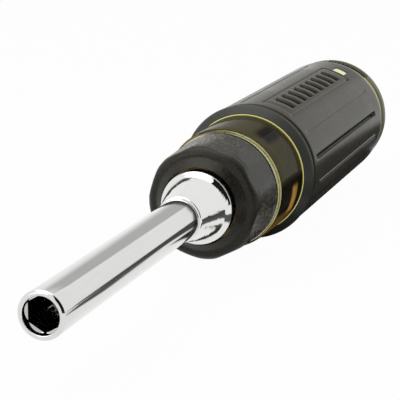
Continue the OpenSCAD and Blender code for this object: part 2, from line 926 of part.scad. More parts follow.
// One double-ended bit in its place in the magazine
module bit(index) {
    front = tip_kinds[2 * index];
    back = tip_kinds[2 * index + 1];
    body_len = bit_len - 2 * tip_len;
    color("silver")
    around(-index * 360 / bit_count)
        translate([bit_x, 0, bit_ring_r])
            rotate([0, 90, 0]) {
                intersection() {
                    translate([0, 0, tip_len]) rotate([0, 0, 90])
                        cylinder(h = body_len, r = bit_corner_r, $fn = 6);
                    rotate_extrude($fn = 48)
                        polygon([
                            [0, tip_len], [bit_corner_r - neck_bevel, tip_len],
                            [bit_corner_r + neck_bevel / 2, tip_len + 1.5 * neck_bevel],
                            [bit_corner_r + neck_bevel / 2, bit_len - tip_len - 1.5 * neck_bevel],
                            [bit_corner_r - neck_bevel, bit_len - tip_len], [0, bit_len - tip_len]
                        ]);
                }
                translate([0, 0, bit_len - tip_len]) bit_end(back[0], back[1]);
                translate([0, 0, tip_len]) mirror([0, 0, 1]) bit_end(front[0], front[1]);
            }
}

shank_tube();
nose_cone();
socket_magnet();
ratchet_gear();
thrust_washer();
retaining_ring();
selector_collar();
selector_cam();
pawl_a();
pawl_b();
ratchet_housing();
housing_cover();
front_bush();
rear_bush();
pawl_pin_a();
pawl_pin_b();
pawl_spring();
detent_ball();
detent_spring();
spacer_ring();
core_body();
grip_sleeve();
bit_carrier();
end_cap();
cap_seal();
bit(0);  // bit_1
bit(1);  // bit_2
bit(2);  // bit_3
bit(3);  // bit_4
bit(4);  // bit_5
bit(5);  // bit_6
bit(6);  // bit_7
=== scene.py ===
"""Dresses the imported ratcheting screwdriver: visible pieces, finishes, light and camera."""
import logging
import math
from dataclasses import dataclass, field
from enum import Enum
from typing import Callable, Sequence

import bmesh
import bpy
from mathutils import Matrix, Vector


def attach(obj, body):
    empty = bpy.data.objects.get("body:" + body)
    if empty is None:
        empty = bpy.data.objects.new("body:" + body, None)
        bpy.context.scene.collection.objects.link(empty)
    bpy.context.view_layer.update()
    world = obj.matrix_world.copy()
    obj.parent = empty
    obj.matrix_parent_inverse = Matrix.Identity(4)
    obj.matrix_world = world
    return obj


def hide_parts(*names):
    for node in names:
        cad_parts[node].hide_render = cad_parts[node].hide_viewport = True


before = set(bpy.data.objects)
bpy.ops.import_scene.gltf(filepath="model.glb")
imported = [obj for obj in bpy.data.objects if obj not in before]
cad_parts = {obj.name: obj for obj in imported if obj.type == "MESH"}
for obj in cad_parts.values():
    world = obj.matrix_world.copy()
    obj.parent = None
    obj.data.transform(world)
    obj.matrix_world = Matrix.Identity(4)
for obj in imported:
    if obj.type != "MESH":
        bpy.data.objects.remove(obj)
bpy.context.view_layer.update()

MM = 0.001
FULL_TURN = 2 * math.pi
CENTRE = (0, 0, 0)
AXIS = (1, 0, 0)
MERGE = 0.000001
LOG = logging.getLogger("screwdriver")
Colour = tuple[float, float, float]
Triple = tuple[float, float, float]
Pair = tuple[float, float]
Node = bpy.types.Node
Socket = bpy.types.NodeSocket
Tree = bpy.types.NodeTree
Mesh = bmesh.types.BMesh
BLACK: Colour = (0.0, 0.0, 0.0)
WHITE: Colour = (1.0, 1.0, 1.0)


def rgba(colour: Colour) -> tuple[float, float, float, float]:
    """Returns a colour with full alpha."""
    return (*colour, 1.0)


def times(colour: Colour, factor: float) -> Colour:
    """Returns a colour made darker or brighter by a factor."""
    return tuple(value * factor for value in colour)


class ShaderSheet:
    """A material's or a group's node tree with short calls for adding and joining nodes."""

    def __init__(self, tree: Tree) -> None:
        """Keeps the tree to work on.

        Args:
            tree: the node tree of a material, a world or a group.
        """
        self.tree = tree

    def node(self, kind: str, **settings: object) -> Node:
        """Adds a node.

        Args:
            kind: the node's type name without its ShaderNode prefix.
            settings: properties to set, and inputs by name with an in_ prefix.

        Returns:
            The new node.
        """
        made = self.tree.nodes.new("ShaderNode" + kind)
        for name, value in settings.items():
            if name.startswith("in_"):
                made.inputs[name[3:].replace("_", " ")].default_value = value
            else:
                setattr(made, name, value)
        return made

    def link(self, source: Socket, target: Socket) -> None:
        """Joins an output to an input."""
        self.tree.links.new(source, target)

    def put(self, value: Socket | Colour | float, target: Socket) -> None:
        """Gives an input a socket, a colour or a number.

        Args:
            value: what the input gets.
            target: the input.
        """
        if isinstance(value, (int, float)):
            target.default_value = value
        elif isinstance(value, tuple):
            target.default_value = rgba(value)
        else:
            self.link(value, target)

    def math(self, operation: str, first: Socket | float, second: Socket | float = 0.0,
             clamp: bool = False) -> Socket:
        """Adds a Math node.

        Args:
            operation: the node's operation.
            first: a socket or a number for the first input.
            second: a socket or a number for the second input.
            clamp: whether the result is held between 0 and 1.

        Returns:
            The node's output.
        """
        made = self.node("Math", operation=operation, use_clamp=clamp)
        for place, value in enumerate((first, second)):
            self.put(value, made.inputs[place])
        return made.outputs[0]

    def product(self, first: Socket, second: Socket | float) -> Socket:
        """Returns the product of a socket and another or a number."""
        return self.math("MULTIPLY", first, second)

    def add_share(self, base: Socket | float, extra: Socket, share: float,
                  clamp: bool = False) -> Socket:
        """Adds a share of one value to another.

        Args:
            base: a socket or a number to start from.
            extra: the value that is added.
            share: what it is multiplied by first.
            clamp: whether the sum is held between 0 and 1.

        Returns:
            The sum's socket.
        """
        return self.math("ADD", base, self.product(extra, share), clamp)

    def blend(self, share: Socket, first: Socket | Colour, second: Socket | Colour) -> Socket:
        """Mixes two colours.

        Args:
            share: how much of the second colour shows.
            first: a socket or a colour.
            second: a socket or a colour.

        Returns:
            The mixed colour's socket.
        """
        made = self.node("Mix", data_type="RGBA")
        for place, value in ((0, share), (6, first), (7, second)):
            self.put(value, made.inputs[place])
        return made.outputs[2]

    def ramp(self, source: Socket, low: float, high: float) -> Socket:
        """Maps a range of a value to 0 to 1, held at both ends.

        Args:
            source: the value's socket.
            low: the value that becomes 0.
            high: the value that becomes 1.

        Returns:
            The mapped value's socket.
        """
        made = self.node("MapRange", clamp=True, interpolation_type="SMOOTHSTEP",
                         in_From_Min=low, in_From_Max=high)
        self.link(source, made.inputs["Value"])
        return made.outputs["Result"]

    def texture(self, given: Node, factor: float, kind: str, **settings: object) -> Node:
        """Adds a texture on a group's vector.

        Args:
            given: the group's input node, with Vector and Scale.
            factor: what the group's scale is multiplied by.
            kind: the texture's type name without its ShaderNode prefix.
            settings: the same as a node's.

        Returns:
            The texture's node.
        """
        made = self.node(kind, **settings)
        self.link(given.outputs["Vector"], made.inputs["Vector"])
        self.link(self.product(given.outputs["Scale"], factor), made.inputs["Scale"])
        return made

    def seen(self) -> Socket:
        """Returns 1 for rays from the camera, from metal and through clear plastic, else 0."""
        path = self.node("LightPath")
        mask = self.math("MAXIMUM", path.outputs["Is Camera Ray"], path.outputs["Is Glossy Ray"])
        return self.math("MAXIMUM", mask, path.outputs["Is Transmission Ray"])

    def mix_shaders(self, share: Socket, first: Node, second: Node, output: Node) -> None:
        """Joins a mix of two shaders to the tree's output.

        Args:
            share: how much of the second shader shows.
            first: the first shader.
            second: the second shader.
            output: the output node.
        """
        mix = self.node("MixShader")
        for place, source in enumerate((share, first.outputs[0], second.outputs[0])):
            self.link(source, mix.inputs[place])
        self.link(mix.outputs[0], output.inputs["Surface"])


Fill = Callable[[ShaderSheet, Node, Node], None]


@dataclass(frozen=True)
class Patch:
    """A soft patch of painted glint or painted shade on the core: middle, half width and soft edge,
    in degrees and in metres.
    """

    turn: Triple
    along: Triple


# Painted light on the clear core: an amber glint streak and a weaker pool of it that stand in for
# reflections of the works inside, and a patch of painted shade.
GLINT_STREAK = Patch((-104.0, 10.0, 6.0), (0.1132, 0.0009, 0.002))
GLINT_POOL = Patch((-127.0, 8.0, 8.0), (0.108, 0.006, 0.004))
SHADE_PATCH = Patch((-34.0, 5.0, 8.0), (0.1115, 0.003, 0.004))
GLINT_POOL_SHARE = 0.3
# Painted shade on the core's lower side, ramping in between these two angles.
SHADED_LOWER_SIDE: Pair = (-78.0, -86.0)
SHADED_LOWER_SHARE = 0.9


class EffectKit:
    """The node groups of the finishes, each built once and fed a vector."""

    def __init__(self) -> None:
        """Starts with no group built."""
        self.built: dict[str, Tree] = {}

    def group(self, name: str, inputs: dict[str, object], outputs: Sequence[str],
              fill: Fill) -> Tree:
        """Builds a group the first time it is asked for.

        Args:
            name: the group's name.
            inputs: the other inputs' names with their defaults, numbers or vectors.
            outputs: the names of the outputs, which are all values.
            fill: a function that draws the nodes between the group's input and output.

        Returns:
            The group's tree.
        """
        if name in self.built:
            return self.built[name]
        tree = bpy.data.node_groups.new(name, "ShaderNodeTree")
        tree.interface.new_socket(name="Vector", in_out="INPUT", socket_type="NodeSocketVector")
        for label, default in inputs.items():
            kind = "NodeSocketFloat" if isinstance(default, float) else "NodeSocketVector"
            socket = tree.interface.new_socket(name=label, in_out="INPUT", socket_type=kind)
            socket.default_value = default
        for label in outputs:
            tree.interface.new_socket(name=label, in_out="OUTPUT", socket_type="NodeSocketFloat")
        fill(ShaderSheet(tree), tree.nodes.new("NodeGroupInput"), tree.nodes.new("NodeGroupOutput"))
        self.built[name] = tree
        return tree

    def grain(self) -> Tree:
        """Returns the group for a moulded grain of fine bumps with softer waves below."""
        def fill(sheet: ShaderSheet, given: Node, out: Node) -> None:
            """Draws the bumps from two sizes of noise and one of cells."""
            fine = sheet.texture(given, 1.0, "TexNoise", in_Detail=3.0, in_Roughness=0.6)
            cells = sheet.texture(given, 0.7, "TexVoronoi", feature="SMOOTH_F1", in_Smoothness=0.6)
            broad = sheet.texture(given, 0.06, "TexNoise", in_Detail=2.0)
            bumps = sheet.add_share(fine.outputs[0], cells.outputs["Distance"], 0.7)
            sheet.link(sheet.add_share(bumps, broad.outputs[0], 0.5), out.inputs["Height"])
            sheet.link(sheet.ramp(fine.outputs[0], 0.35, 0.7), out.inputs["Speckle"])
        return self.group("moulded_grain", {"Scale": 1500.0}, ("Height", "Speckle"), fill)

    def handling(self) -> Tree:
        """Returns the group for smudges and faint rub marks left by hands, from 0 to 1."""
        def fill(sheet: ShaderSheet, given: Node, out: Node) -> None:
            """Draws broad smudges broken up by finer ones."""
            broad = sheet.texture(given, 1.0, "TexNoise", in_Detail=4.0, in_Roughness=0.55,
                                  in_Distortion=0.6)
            fine = sheet.texture(given, 7.0, "TexNoise", in_Detail=6.0, in_Roughness=0.7)
            smudge = sheet.ramp(broad.outputs[0], 0.42, 0.68)
            broken = sheet.product(smudge, sheet.ramp(fine.outputs[0], 0.25, 0.75))
            sheet.link(broken, out.inputs["Smudge"])
            sheet.link(sheet.ramp(broad.outputs[0], 0.3, 0.7), out.inputs["Cloud"])
        return self.group("handling_marks", {"Scale": 60.0}, ("Smudge", "Cloud"), fill)

    def tool_marks(self) -> Tree:
        """Returns the group for fine turned or ground lines, stretched along one axis."""
        def fill(sheet: ShaderSheet, given: Node, out: Node) -> None:
            """Draws lines by sampling noise on a stretched vector."""
            stretch = sheet.node("Mapping")
            sheet.link(given.outputs["Vector"], stretch.inputs["Vector"])
            sheet.link(given.outputs["Stretch"], stretch.inputs["Scale"])
            lines = sheet.node("TexNoise", in_Scale=1.0, in_Detail=5.0, in_Roughness=0.65)
            sheet.link(stretch.outputs["Vector"], lines.inputs["Vector"])
            sheet.link(lines.outputs[0], out.inputs["Height"])
            sheet.link(sheet.ramp(lines.outputs[0], 0.35, 0.65), out.inputs["Lines"])
        return self.group("tool_marks", {"Stretch": (1.0, 1.0, 1.0)}, ("Height", "Lines"), fill)

    def painted_core_light(self) -> Tree:
        """Returns the group for the clear core's painted shade on its lower side and its painted
        amber glint.
        """
        def fill(sheet: ShaderSheet, given: Node, out: Node) -> None:
            """Draws patches of painted shade and of painted glint, the glint broken by a noise
            stretched round the axis.
            """
            split = sheet.node("SeparateXYZ")
            sheet.link(given.outputs["Vector"], split.inputs[0])
            angle = sheet.math("ARCTAN2", split.outputs["Y"], split.outputs["Z"])
            angle = sheet.math("DEGREES", angle)
            stretch = sheet.node("Mapping", in_Scale=(900.0, 160.0, 160.0))
            streaks = sheet.node("TexNoise", in_Scale=1.0, in_Detail=3.0)
            sheet.link(given.outputs["Vector"], stretch.inputs["Vector"])
            sheet.link(stretch.outputs["Vector"], streaks.inputs["Vector"])

            def band(source: Socket, middle: float, half: float, soft: float) -> Socket:
                """Returns 1 near a middle value and 0 far from it."""
                off = sheet.math("ABSOLUTE", sheet.math("SUBTRACT", source, middle))
                return sheet.ramp(off, half + soft, half)

            def spot(patch: Patch) -> Socket:
                """Returns 1 inside a patch and 0 outside."""
                return sheet.product(band(angle, *patch.turn),
                                     band(split.outputs["X"], *patch.along))

            # The painted amber glint, broken into streaks.
            glint = sheet.add_share(spot(GLINT_STREAK), spot(GLINT_POOL), GLINT_POOL_SHARE)
            glint = sheet.product(glint, sheet.ramp(streaks.outputs[0], 0.25, 0.55))
            sheet.link(glint, out.inputs["Glint"])
            # The painted shade: the darker lower side and the darker patch.
            lower = sheet.product(sheet.ramp(angle, *SHADED_LOWER_SIDE), SHADED_LOWER_SHARE)
            sheet.link(sheet.math("ADD", lower, spot(SHADE_PATCH), clamp=True), out.inputs["Shade"])
        return self.group("painted_core_light", {}, ("Glint", "Shade"), fill)

    def rubbed_edges(self) -> Tree:
        """Returns the group that turns curvature into a mask of edges rubbed bright."""
        def fill(sheet: ShaderSheet, given: Node, out: Node) -> None:
            """Draws the mask from the curvature and a noise."""
            patches = sheet.texture(given, 1.0, "TexNoise", in_Detail=5.0, in_Roughness=0.7)
            edge = sheet.ramp(given.outputs["Curvature"], 0.51, 0.6)
            mask = sheet.product(edge, sheet.ramp(patches.outputs[0], 0.3, 0.65))
            mask = sheet.math("MULTIPLY", mask, given.outputs["Amount"], clamp=True)
            sheet.link(mask, out.inputs["Mask"])
        return self.group("rubbed_edges", {"Curvature": 0.5, "Scale": 300.0, "Amount": 0.5},
                          ("Mask",), fill)


EFFECTS = EffectKit()


class MaterialSheet(ShaderSheet):
    """A new material's node tree with nothing but its output."""

    def __init__(self, name: str) -> None:
        """Makes the material.

        Args:
            name: the material's name.
        """
        self.material = bpy.data.materials.new(name)
        self.material.use_nodes = True
        super().__init__(self.material.node_tree)
        self.tree.nodes.clear()
        self.output = self.node("OutputMaterial")


class FinishSheet(MaterialSheet):
    """A finish's material under way, with its Principled shader and Object coordinates."""

    def __init__(self, name: str) -> None:
        """Makes the material, its shader and the coordinates.

        Args:
            name: the finish's name.
        """
        super().__init__(f"{name}_finish")
        self.shader = self.node("BsdfPrincipled")
        self.link(self.shader.outputs[0], self.output.inputs["Surface"])
        self.place = self.node("TexCoord").outputs["Object"]

    def effect(self, tree: Tree, **values: object) -> Node:
        """Places a shared group and sets its inputs.

        Args:
            tree: the group to place.
            values: the group's inputs by name.

        Returns:
            The group node.
        """
        made = self.node("Group")
        made.node_tree = tree
        self.link(self.place, made.inputs["Vector"])
        for name, value in values.items():
            made.inputs[name].default_value = value
        return made

    def set(self, **values: object) -> None:
        """Sets inputs of the Principled shader, with spaces written as underscores."""
        for name, value in values.items():
            self.shader.inputs[name.replace("_", " ")].default_value = value

    def feed(self, name: str, source: Socket) -> None:
        """Joins a socket to an input of the Principled shader."""
        self.link(source, self.shader.inputs[name])

    def bump(self, height: Socket, strength: float, depth: float,
             below: Socket | None = None) -> Socket:
        """Adds a Bump node.

        Args:
            height: the height's socket.
            strength: the node's strength.
            depth: the height of a full step in metres.
            below: a normal that this bump is laid on.

        Returns:
            The bump's normal.
        """
        made = self.node("Bump", in_Strength=strength, in_Distance=depth)
        self.link(height, made.inputs["Height"])
        if below is not None:
            self.link(below, made.inputs["Normal"])
        return made.outputs[0]


@dataclass(frozen=True)
class MetalFinish:
    """A bare or plated metal with tool marks and smudges."""

    name: str
    colour: Colour
    roughness: float
    marks: Triple = (9000.0, 60.0, 60.0)
    mark_depth: float = 0.000002
    mark_strength: float = 0.4
    smudge: float = 0.08
    smudge_scale: float = 90.0
    dark_colour: Colour = (0.5, 0.5, 0.5)
    dark_share: float = 0.1
    wave: float = 0.0
    wave_scale: float = 170.0

    def material(self) -> bpy.types.Material:
        """Builds the material.

        Returns:
            The finished material.
        """
        sheet = FinishSheet(self.name)
        sheet.set(Metallic=1.0)
        marks = sheet.effect(EFFECTS.tool_marks(), Stretch=self.marks)
        smudge = sheet.effect(EFFECTS.handling(), Scale=self.smudge_scale).outputs["Smudge"]
        share = sheet.product(marks.outputs["Lines"], self.dark_share)
        share = sheet.add_share(share, smudge, self.dark_share)
        sheet.feed("Base Color", sheet.blend(share, self.colour, self.dark_colour))
        sheet.feed("Roughness", sheet.add_share(self.roughness, smudge, self.smudge))
        normal = sheet.bump(marks.outputs["Height"], self.mark_strength, self.mark_depth)
        if self.wave > 0:
            polish = sheet.effect(EFFECTS.handling(), Scale=self.wave_scale)
            normal = sheet.bump(polish.outputs["Cloud"], 1.0, self.wave, normal)
        sheet.feed("Normal", normal)
        return sheet.material


@dataclass(frozen=True)
class MouldedFinish:
    """An opaque moulded plastic or rubber with grain, rubbed edges and handling marks.

    Its sheen share above 0 lightens the grain's tips where the surface is seen edge on, a painted
    sheen.
    """

    name: str
    colour: Colour
    roughness: float
    grain_scale: float
    grain_depth: float
    rub_colour: Colour
    rub: float = 0.35
    rub_scale: float = 240.0
    cloud: float = 0.25
    cloud_level: float = 0.72
    smudge: float = 0.12
    smudge_scale: float = 45.0
    specular: float = 0.5
    speckle: float = 0.18
    speckle_rough: float = 0.06
    painted_sheen: float = 0.0
    painted_sheen_range: Pair = (0.55, 0.95)
    painted_sheen_tips: Pair = (0.3, 0.9)
    tint: Colour = WHITE
    grain_strength: float = 0.6

    def material(self) -> bpy.types.Material:
        """Builds the material.

        Returns:
            The finished material.
        """
        sheet = FinishSheet(self.name)
        grain = sheet.effect(EFFECTS.grain(), Scale=self.grain_scale)
        speckle = grain.outputs["Speckle"]
        hands = sheet.effect(EFFECTS.handling(), Scale=self.smudge_scale)
        rub = sheet.effect(EFFECTS.rubbed_edges(), Scale=self.rub_scale, Amount=self.rub)
        sheet.link(sheet.node("NewGeometry").outputs["Pointiness"], rub.inputs["Curvature"])
        share = sheet.product(hands.outputs["Cloud"], self.cloud)
        base = sheet.blend(share, self.colour, times(self.colour, self.cloud_level))
        base = sheet.blend(sheet.product(speckle, self.speckle), base, self.rub_colour)
        # A painted sheen on the grain's tips where the surface is seen edge on.
        if self.painted_sheen > 0:
            facing = sheet.node("LayerWeight", in_Blend=0.5).outputs["Facing"]
            painted_sheen = sheet.product(sheet.ramp(facing, *self.painted_sheen_range),
                                   sheet.ramp(speckle, *self.painted_sheen_tips))
            base = sheet.blend(painted_sheen, base, times(self.rub_colour, self.painted_sheen))
        sheet.feed("Base Color", sheet.blend(rub.outputs["Mask"], base, self.rub_colour))
        rough = sheet.add_share(self.roughness, hands.outputs["Smudge"], -self.smudge)
        sheet.feed("Roughness", sheet.add_share(rough, speckle, self.speckle_rough, clamp=True))
        sheet.set(Specular_IOR_Level=self.specular, Specular_Tint=rgba(self.tint))
        normal = sheet.bump(grain.outputs["Height"], self.grain_strength, self.grain_depth)
        sheet.feed("Normal", normal)
        return sheet.material


@dataclass(frozen=True)
class ClearFinish:
    """A tinted see-through plastic with faint flow lines and scratches.

    The density tints what is seen through it, and lights adds a painted shade on the core's lower
    side and a painted amber glint, which stand in for the reflections inside the core. A glow above
    0 paints the plastic glowing in its own colour.
    """

    name: str
    colour: Colour
    transmission: float
    roughness: float
    density: float = 0.0
    depth_colour: Colour = WHITE
    glow: float = 0.0
    specular: float = 0.5
    bend: float = 1.5
    flow: Triple = (120.0, 900.0, 900.0)
    flow_depth: float = 0.00001
    flow_strength: float = 0.25
    smudge: float = 0.06
    smudge_scale: float = 70.0
    cloud: float = 0.5
    cloud_level: float = 0.8
    lights: bool = False
    shade_colour: Colour = (0.02, 0.013, 0.006)
    glint_colour: Colour = (1.0, 0.5, 0.1)
    glint: float = 0.3

    def material(self) -> bpy.types.Material:
        """Builds the material.

        Returns:
            The finished material.
        """
        sheet = FinishSheet(self.name)
        marks = sheet.effect(EFFECTS.tool_marks(), Stretch=self.flow)
        hands = sheet.effect(EFFECTS.handling(), Scale=self.smudge_scale)
        share = sheet.product(hands.outputs["Cloud"], self.cloud)
        base = sheet.blend(share, self.colour, times(self.colour, self.cloud_level))
        # Painted shade on the lower side, and a painted glint that glows as emission.
        if self.lights:
            inner = sheet.effect(EFFECTS.painted_core_light())
            base = sheet.blend(inner.outputs["Shade"], base, self.shade_colour)
            sheet.set(Emission_Strength=self.glint)
            glint = sheet.blend(inner.outputs["Glint"], BLACK, self.glint_colour)
            sheet.feed("Emission Color", glint)
        sheet.feed("Base Color", base)
        rough = sheet.add_share(self.roughness, hands.outputs["Smudge"], self.smudge)
        sheet.feed("Roughness", rough)
        sheet.set(IOR=self.bend, Transmission_Weight=self.transmission,
                  Specular_IOR_Level=self.specular)
        normal = sheet.bump(marks.outputs["Height"], self.flow_strength, self.flow_depth)
        sheet.feed("Normal", normal)
        if self.density > 0:
            volume = sheet.node("VolumeAbsorption", in_Density=self.density,
                                in_Color=rgba(self.depth_colour))
            sheet.link(volume.outputs[0], sheet.output.inputs["Volume"])
        # A painted glow in the plastic's own colour.
        if self.glow > 0:
            sheet.set(Emission_Color=rgba(self.colour), Emission_Strength=self.glow)
        return sheet.material


class Finish(Enum):
    """The finishes of the tool."""

    SHANK = MetalFinish("shank_chrome", (0.72, 0.725, 0.71), 0.08, (40.0, 2200.0, 2200.0),
                        mark_depth=0.000003, smudge=0.05)
    CONE = MetalFinish("cone_chrome", (0.79, 0.79, 0.78), 0.035, (5000.0, 40.0, 40.0),
                       mark_depth=0.000003, smudge=0.04, wave=0.00004)
    STEEL = MetalFinish("tool_steel", (0.42, 0.42, 0.43), 0.3, (2500.0, 300.0, 300.0))
    RING = MetalFinish("ring_steel", (0.75, 0.74, 0.7), 0.18)
    HOUSING = MetalFinish("housing_steel", (0.16, 0.11, 0.055), 0.3, (3000.0, 90.0, 90.0),
                          dark_colour=(0.03, 0.02, 0.012), dark_share=0.5)
    BRONZE = MetalFinish("bush_bronze", (0.62, 0.38, 0.18), 0.35,
                         dark_colour=(0.3, 0.18, 0.1), dark_share=0.3)
    BIT = MetalFinish("bit_steel", (0.36, 0.36, 0.37), 0.34, (900.0, 3000.0, 3000.0),
                      mark_depth=0.000004, smudge=0.12, dark_colour=(0.2, 0.2, 0.2),
                      dark_share=0.3)
    # The collar carries a painted sheen on its grain's tips, seen edge on.
    COLLAR = MouldedFinish("collar_plastic", (0.012, 0.0115, 0.008), 0.33, 1500.0, 0.00006,
                           (0.05, 0.047, 0.036), rub=0.25, specular=0.24, speckle=0.3,
                           painted_sheen=6.5, tint=(1.0, 0.98, 0.9))
    RUBBER = MouldedFinish("grip_rubber", (0.035, 0.032, 0.019), 0.24, 3400.0, 0.000002,
                           (0.07, 0.065, 0.04), rub=0.3, specular=0.14, tint=(1.0, 0.96, 0.84))
    FLANGE = MouldedFinish("flange_rubber", (0.052, 0.053, 0.047), 0.3, 3400.0, 0.000002,
                           (0.08, 0.08, 0.07), rub=0.2, specular=0.2)
    # Near-black rubber for the strips of painted shade in the grooves, the notch and the slots.
    DEEP_RUBBER = MouldedFinish("painted_shade_rubber", (0.008, 0.008, 0.006), 0.7, 3400.0, 0.000004,
                                (0.02, 0.02, 0.016), rub=0.1, specular=0.05)
    CARRIER = MouldedFinish("carrier_plastic", (0.016, 0.016, 0.017), 0.42, 2600.0, 0.00001,
                            (0.06, 0.06, 0.06))
    SEAL = MouldedFinish("seal_rubber", (0.01, 0.01, 0.01), 0.45, 3000.0, 0.00001,
                         (0.05, 0.05, 0.05))
    # The core carries painted shade on its lower side and a painted amber glint.
    CORE = ClearFinish("smoky_plastic", (0.25, 0.22, 0.11), 0.75, 0.02, 60.0,
                       (0.67, 0.51, 0.11), specular=0.0, bend=1.09, lights=True)
    # Painted highlights: clear plastics that glow in their own colour, for the beads on the core
    # and the window's pad.
    CORE_EDGE = ClearFinish("smoky_edge_glow", (0.62, 0.60, 0.20), 0.3, 0.12, glow=0.75)
    NECK_EDGE = ClearFinish("neck_edge_glow", (0.62, 0.60, 0.20), 0.3, 0.12, glow=0.3)
    WINDOW = ClearFinish("window_pad", (0.80, 0.82, 0.46), 0.25, 0.12, glow=0.42)
    CAP = ClearFinish("cap_plastic", (0.26, 0.25, 0.17), 0.2, 0.14, specular=0.1, bend=1.2)

    def material(self) -> bpy.types.Material:
        """Builds the finish's material the first time and returns it."""
        return bpy.data.materials.get(f"{self.value.name}_finish") or self.value.material()


@dataclass(frozen=True)
class Corner:
    """A corner of a turned outline in millimetres: place along X, radius and rounding."""

    x: float
    r: float
    soft: float = 0.0


def close_up(mesh: Mesh, distance: float = MERGE) -> None:
    """Merges doubled vertices and turns the normals outwards.

    Args:
        mesh: the mesh.
        distance: the distance within which vertices are merged, in metres.
    """
    bmesh.ops.remove_doubles(mesh, verts=mesh.verts[:], dist=distance)
    bmesh.ops.recalc_face_normals(mesh, faces=mesh.faces[:])


class Lathe:
    """Turns an outline round the X axis."""

    def __init__(self, corners: Sequence[Corner], closed: bool = False, rounding: int = 4) -> None:
        """Draws the outline in the XZ plane and rounds its corners.

        Args:
            corners: the outline's corners in order.
            closed: whether the last corner joins the first.
            rounding: the number of segments in each rounded corner.
        """
        self.mesh = bmesh.new()
        points = [self.mesh.verts.new((c.x * MM, 0.0, c.r * MM)) for c in corners]
        count = len(points)
        for place in range(count if closed else count - 1):
            self.mesh.edges.new((points[place], points[(place + 1) % count]))
        for corner, point in zip(corners, points):
            if corner.soft > 0:
                bmesh.ops.bevel(self.mesh, geom=[point], offset=corner.soft * MM,
                                offset_type="OFFSET", segments=rounding, profile=0.5,
                                affect="VERTICES", material=-1)

    def divide(self, low: float, high: float, step: float, slack: float = 0.01) -> None:
        """Cuts the outline's long edges between two places along X.

        Args:
            low: the lowest place in millimetres.
            high: the highest place in millimetres.
            step: the longest edge that stays whole, in millimetres.
            slack: how far an edge may reach past the two places.
        """
        for edge in list(self.mesh.edges):
            start, end = sorted(v.co.x for v in edge.verts)
            length = edge.calc_length()
            if start >= (low - slack) * MM and end <= (high + slack) * MM and length > step * MM:
                cuts = int(length / (step * MM))
                bmesh.ops.subdivide_edges(self.mesh, edges=[edge], cuts=cuts)

    def turn(self, steps: int) -> Mesh:
        """Spins the outline into a shell.

        Args:
            steps: the number of steps in the full turn.

        Returns:
            The shell, with its normals outwards.
        """
        bmesh.ops.spin(self.mesh, geom=self.mesh.verts[:] + self.mesh.edges[:], cent=CENTRE,
                       axis=AXIS, dvec=CENTRE, angle=FULL_TURN, steps=steps, use_merge=True,
                       use_duplicate=False)
        close_up(self.mesh)
        return self.mesh


def angle_of(place: Vector) -> float:
    """Returns a point's angle round the axis in degrees, from +Z towards +Y."""
    return math.degrees(math.atan2(place.y, place.z))


def radius_of(place: Vector) -> float:
    """Returns a point's distance from the axis in metres."""
    return math.hypot(place.y, place.z)


def set_radius(vert: bmesh.types.BMVert, radius: float) -> None:
    """Moves a vertex to a distance from the axis, keeping its angle and its place along X."""
    now = radius_of(vert.co)
    if now > 0:
        vert.co.y *= radius / now
        vert.co.z *= radius / now


def angle_between(angle: float, middle: float, pitch: float = 360.0) -> float:
    """Returns an angle's signed distance from the nearest of the places a pitch apart.

    Args:
        angle: the angle in degrees.
        middle: one of the places.
        pitch: the angle from place to place.

    Returns:
        The distance in degrees, from minus half a pitch to half a pitch.
    """
    return (angle - middle + pitch / 2) % pitch - pitch / 2


def smooth_step(value: float, low: float, high: float) -> float:
    """Returns 0 below low, 1 above high and a smooth rise between."""
    share = min(max((value - low) / (high - low), 0.0), 1.0)
    return share * share * (3 - 2 * share)


def add_object(name: str, data: bpy.types.ID) -> bpy.types.Object:
    """Makes an object and links it to the scene.

    Args:
        name: the object's name.
        data: its mesh, lamp or camera.

    Returns:
        The object.
    """
    made = bpy.data.objects.new(name, data)
    bpy.context.scene.collection.objects.link(made)
    return made


def make_piece(mesh: Mesh, name: str, body: str, finish: Finish,
               replaces: Sequence[str] = (), sharp: float = 38.0) -> None:
    """Turns a mesh into a smooth piece that rides on a body.

    Args:
        mesh: the mesh, in metres in the shared frame.
        name: the piece's name.
        body: the body that it rides on.
        finish: its finish.
        replaces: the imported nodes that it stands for.
        sharp: the least angle of a sharp edge, in degrees.
    """
    for face in mesh.faces:
        face.smooth = True
    for edge in mesh.edges:
        edge.smooth = not (edge.is_manifold and edge.calc_face_angle(0.0) > math.radians(sharp))
    data = bpy.data.meshes.new(name)
    mesh.to_mesh(data)
    mesh.free()
    data.materials.append(finish.material())
    piece = add_object(name, data)
    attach(piece, body)
    if replaces:
        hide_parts(*replaces)
    LOG.info("piece %s on %s: %d faces", name, body, len(data.polygons))


def dress_nodes(finish: Finish, *names: str) -> None:
    """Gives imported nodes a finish.

    Args:
        finish: the finish that they get.
        names: the nodes' names.
    """
    for name in names:
        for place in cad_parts[name].material_slots:
            place.material = finish.material()
        LOG.info("node %s: %s", name, finish.value.name)


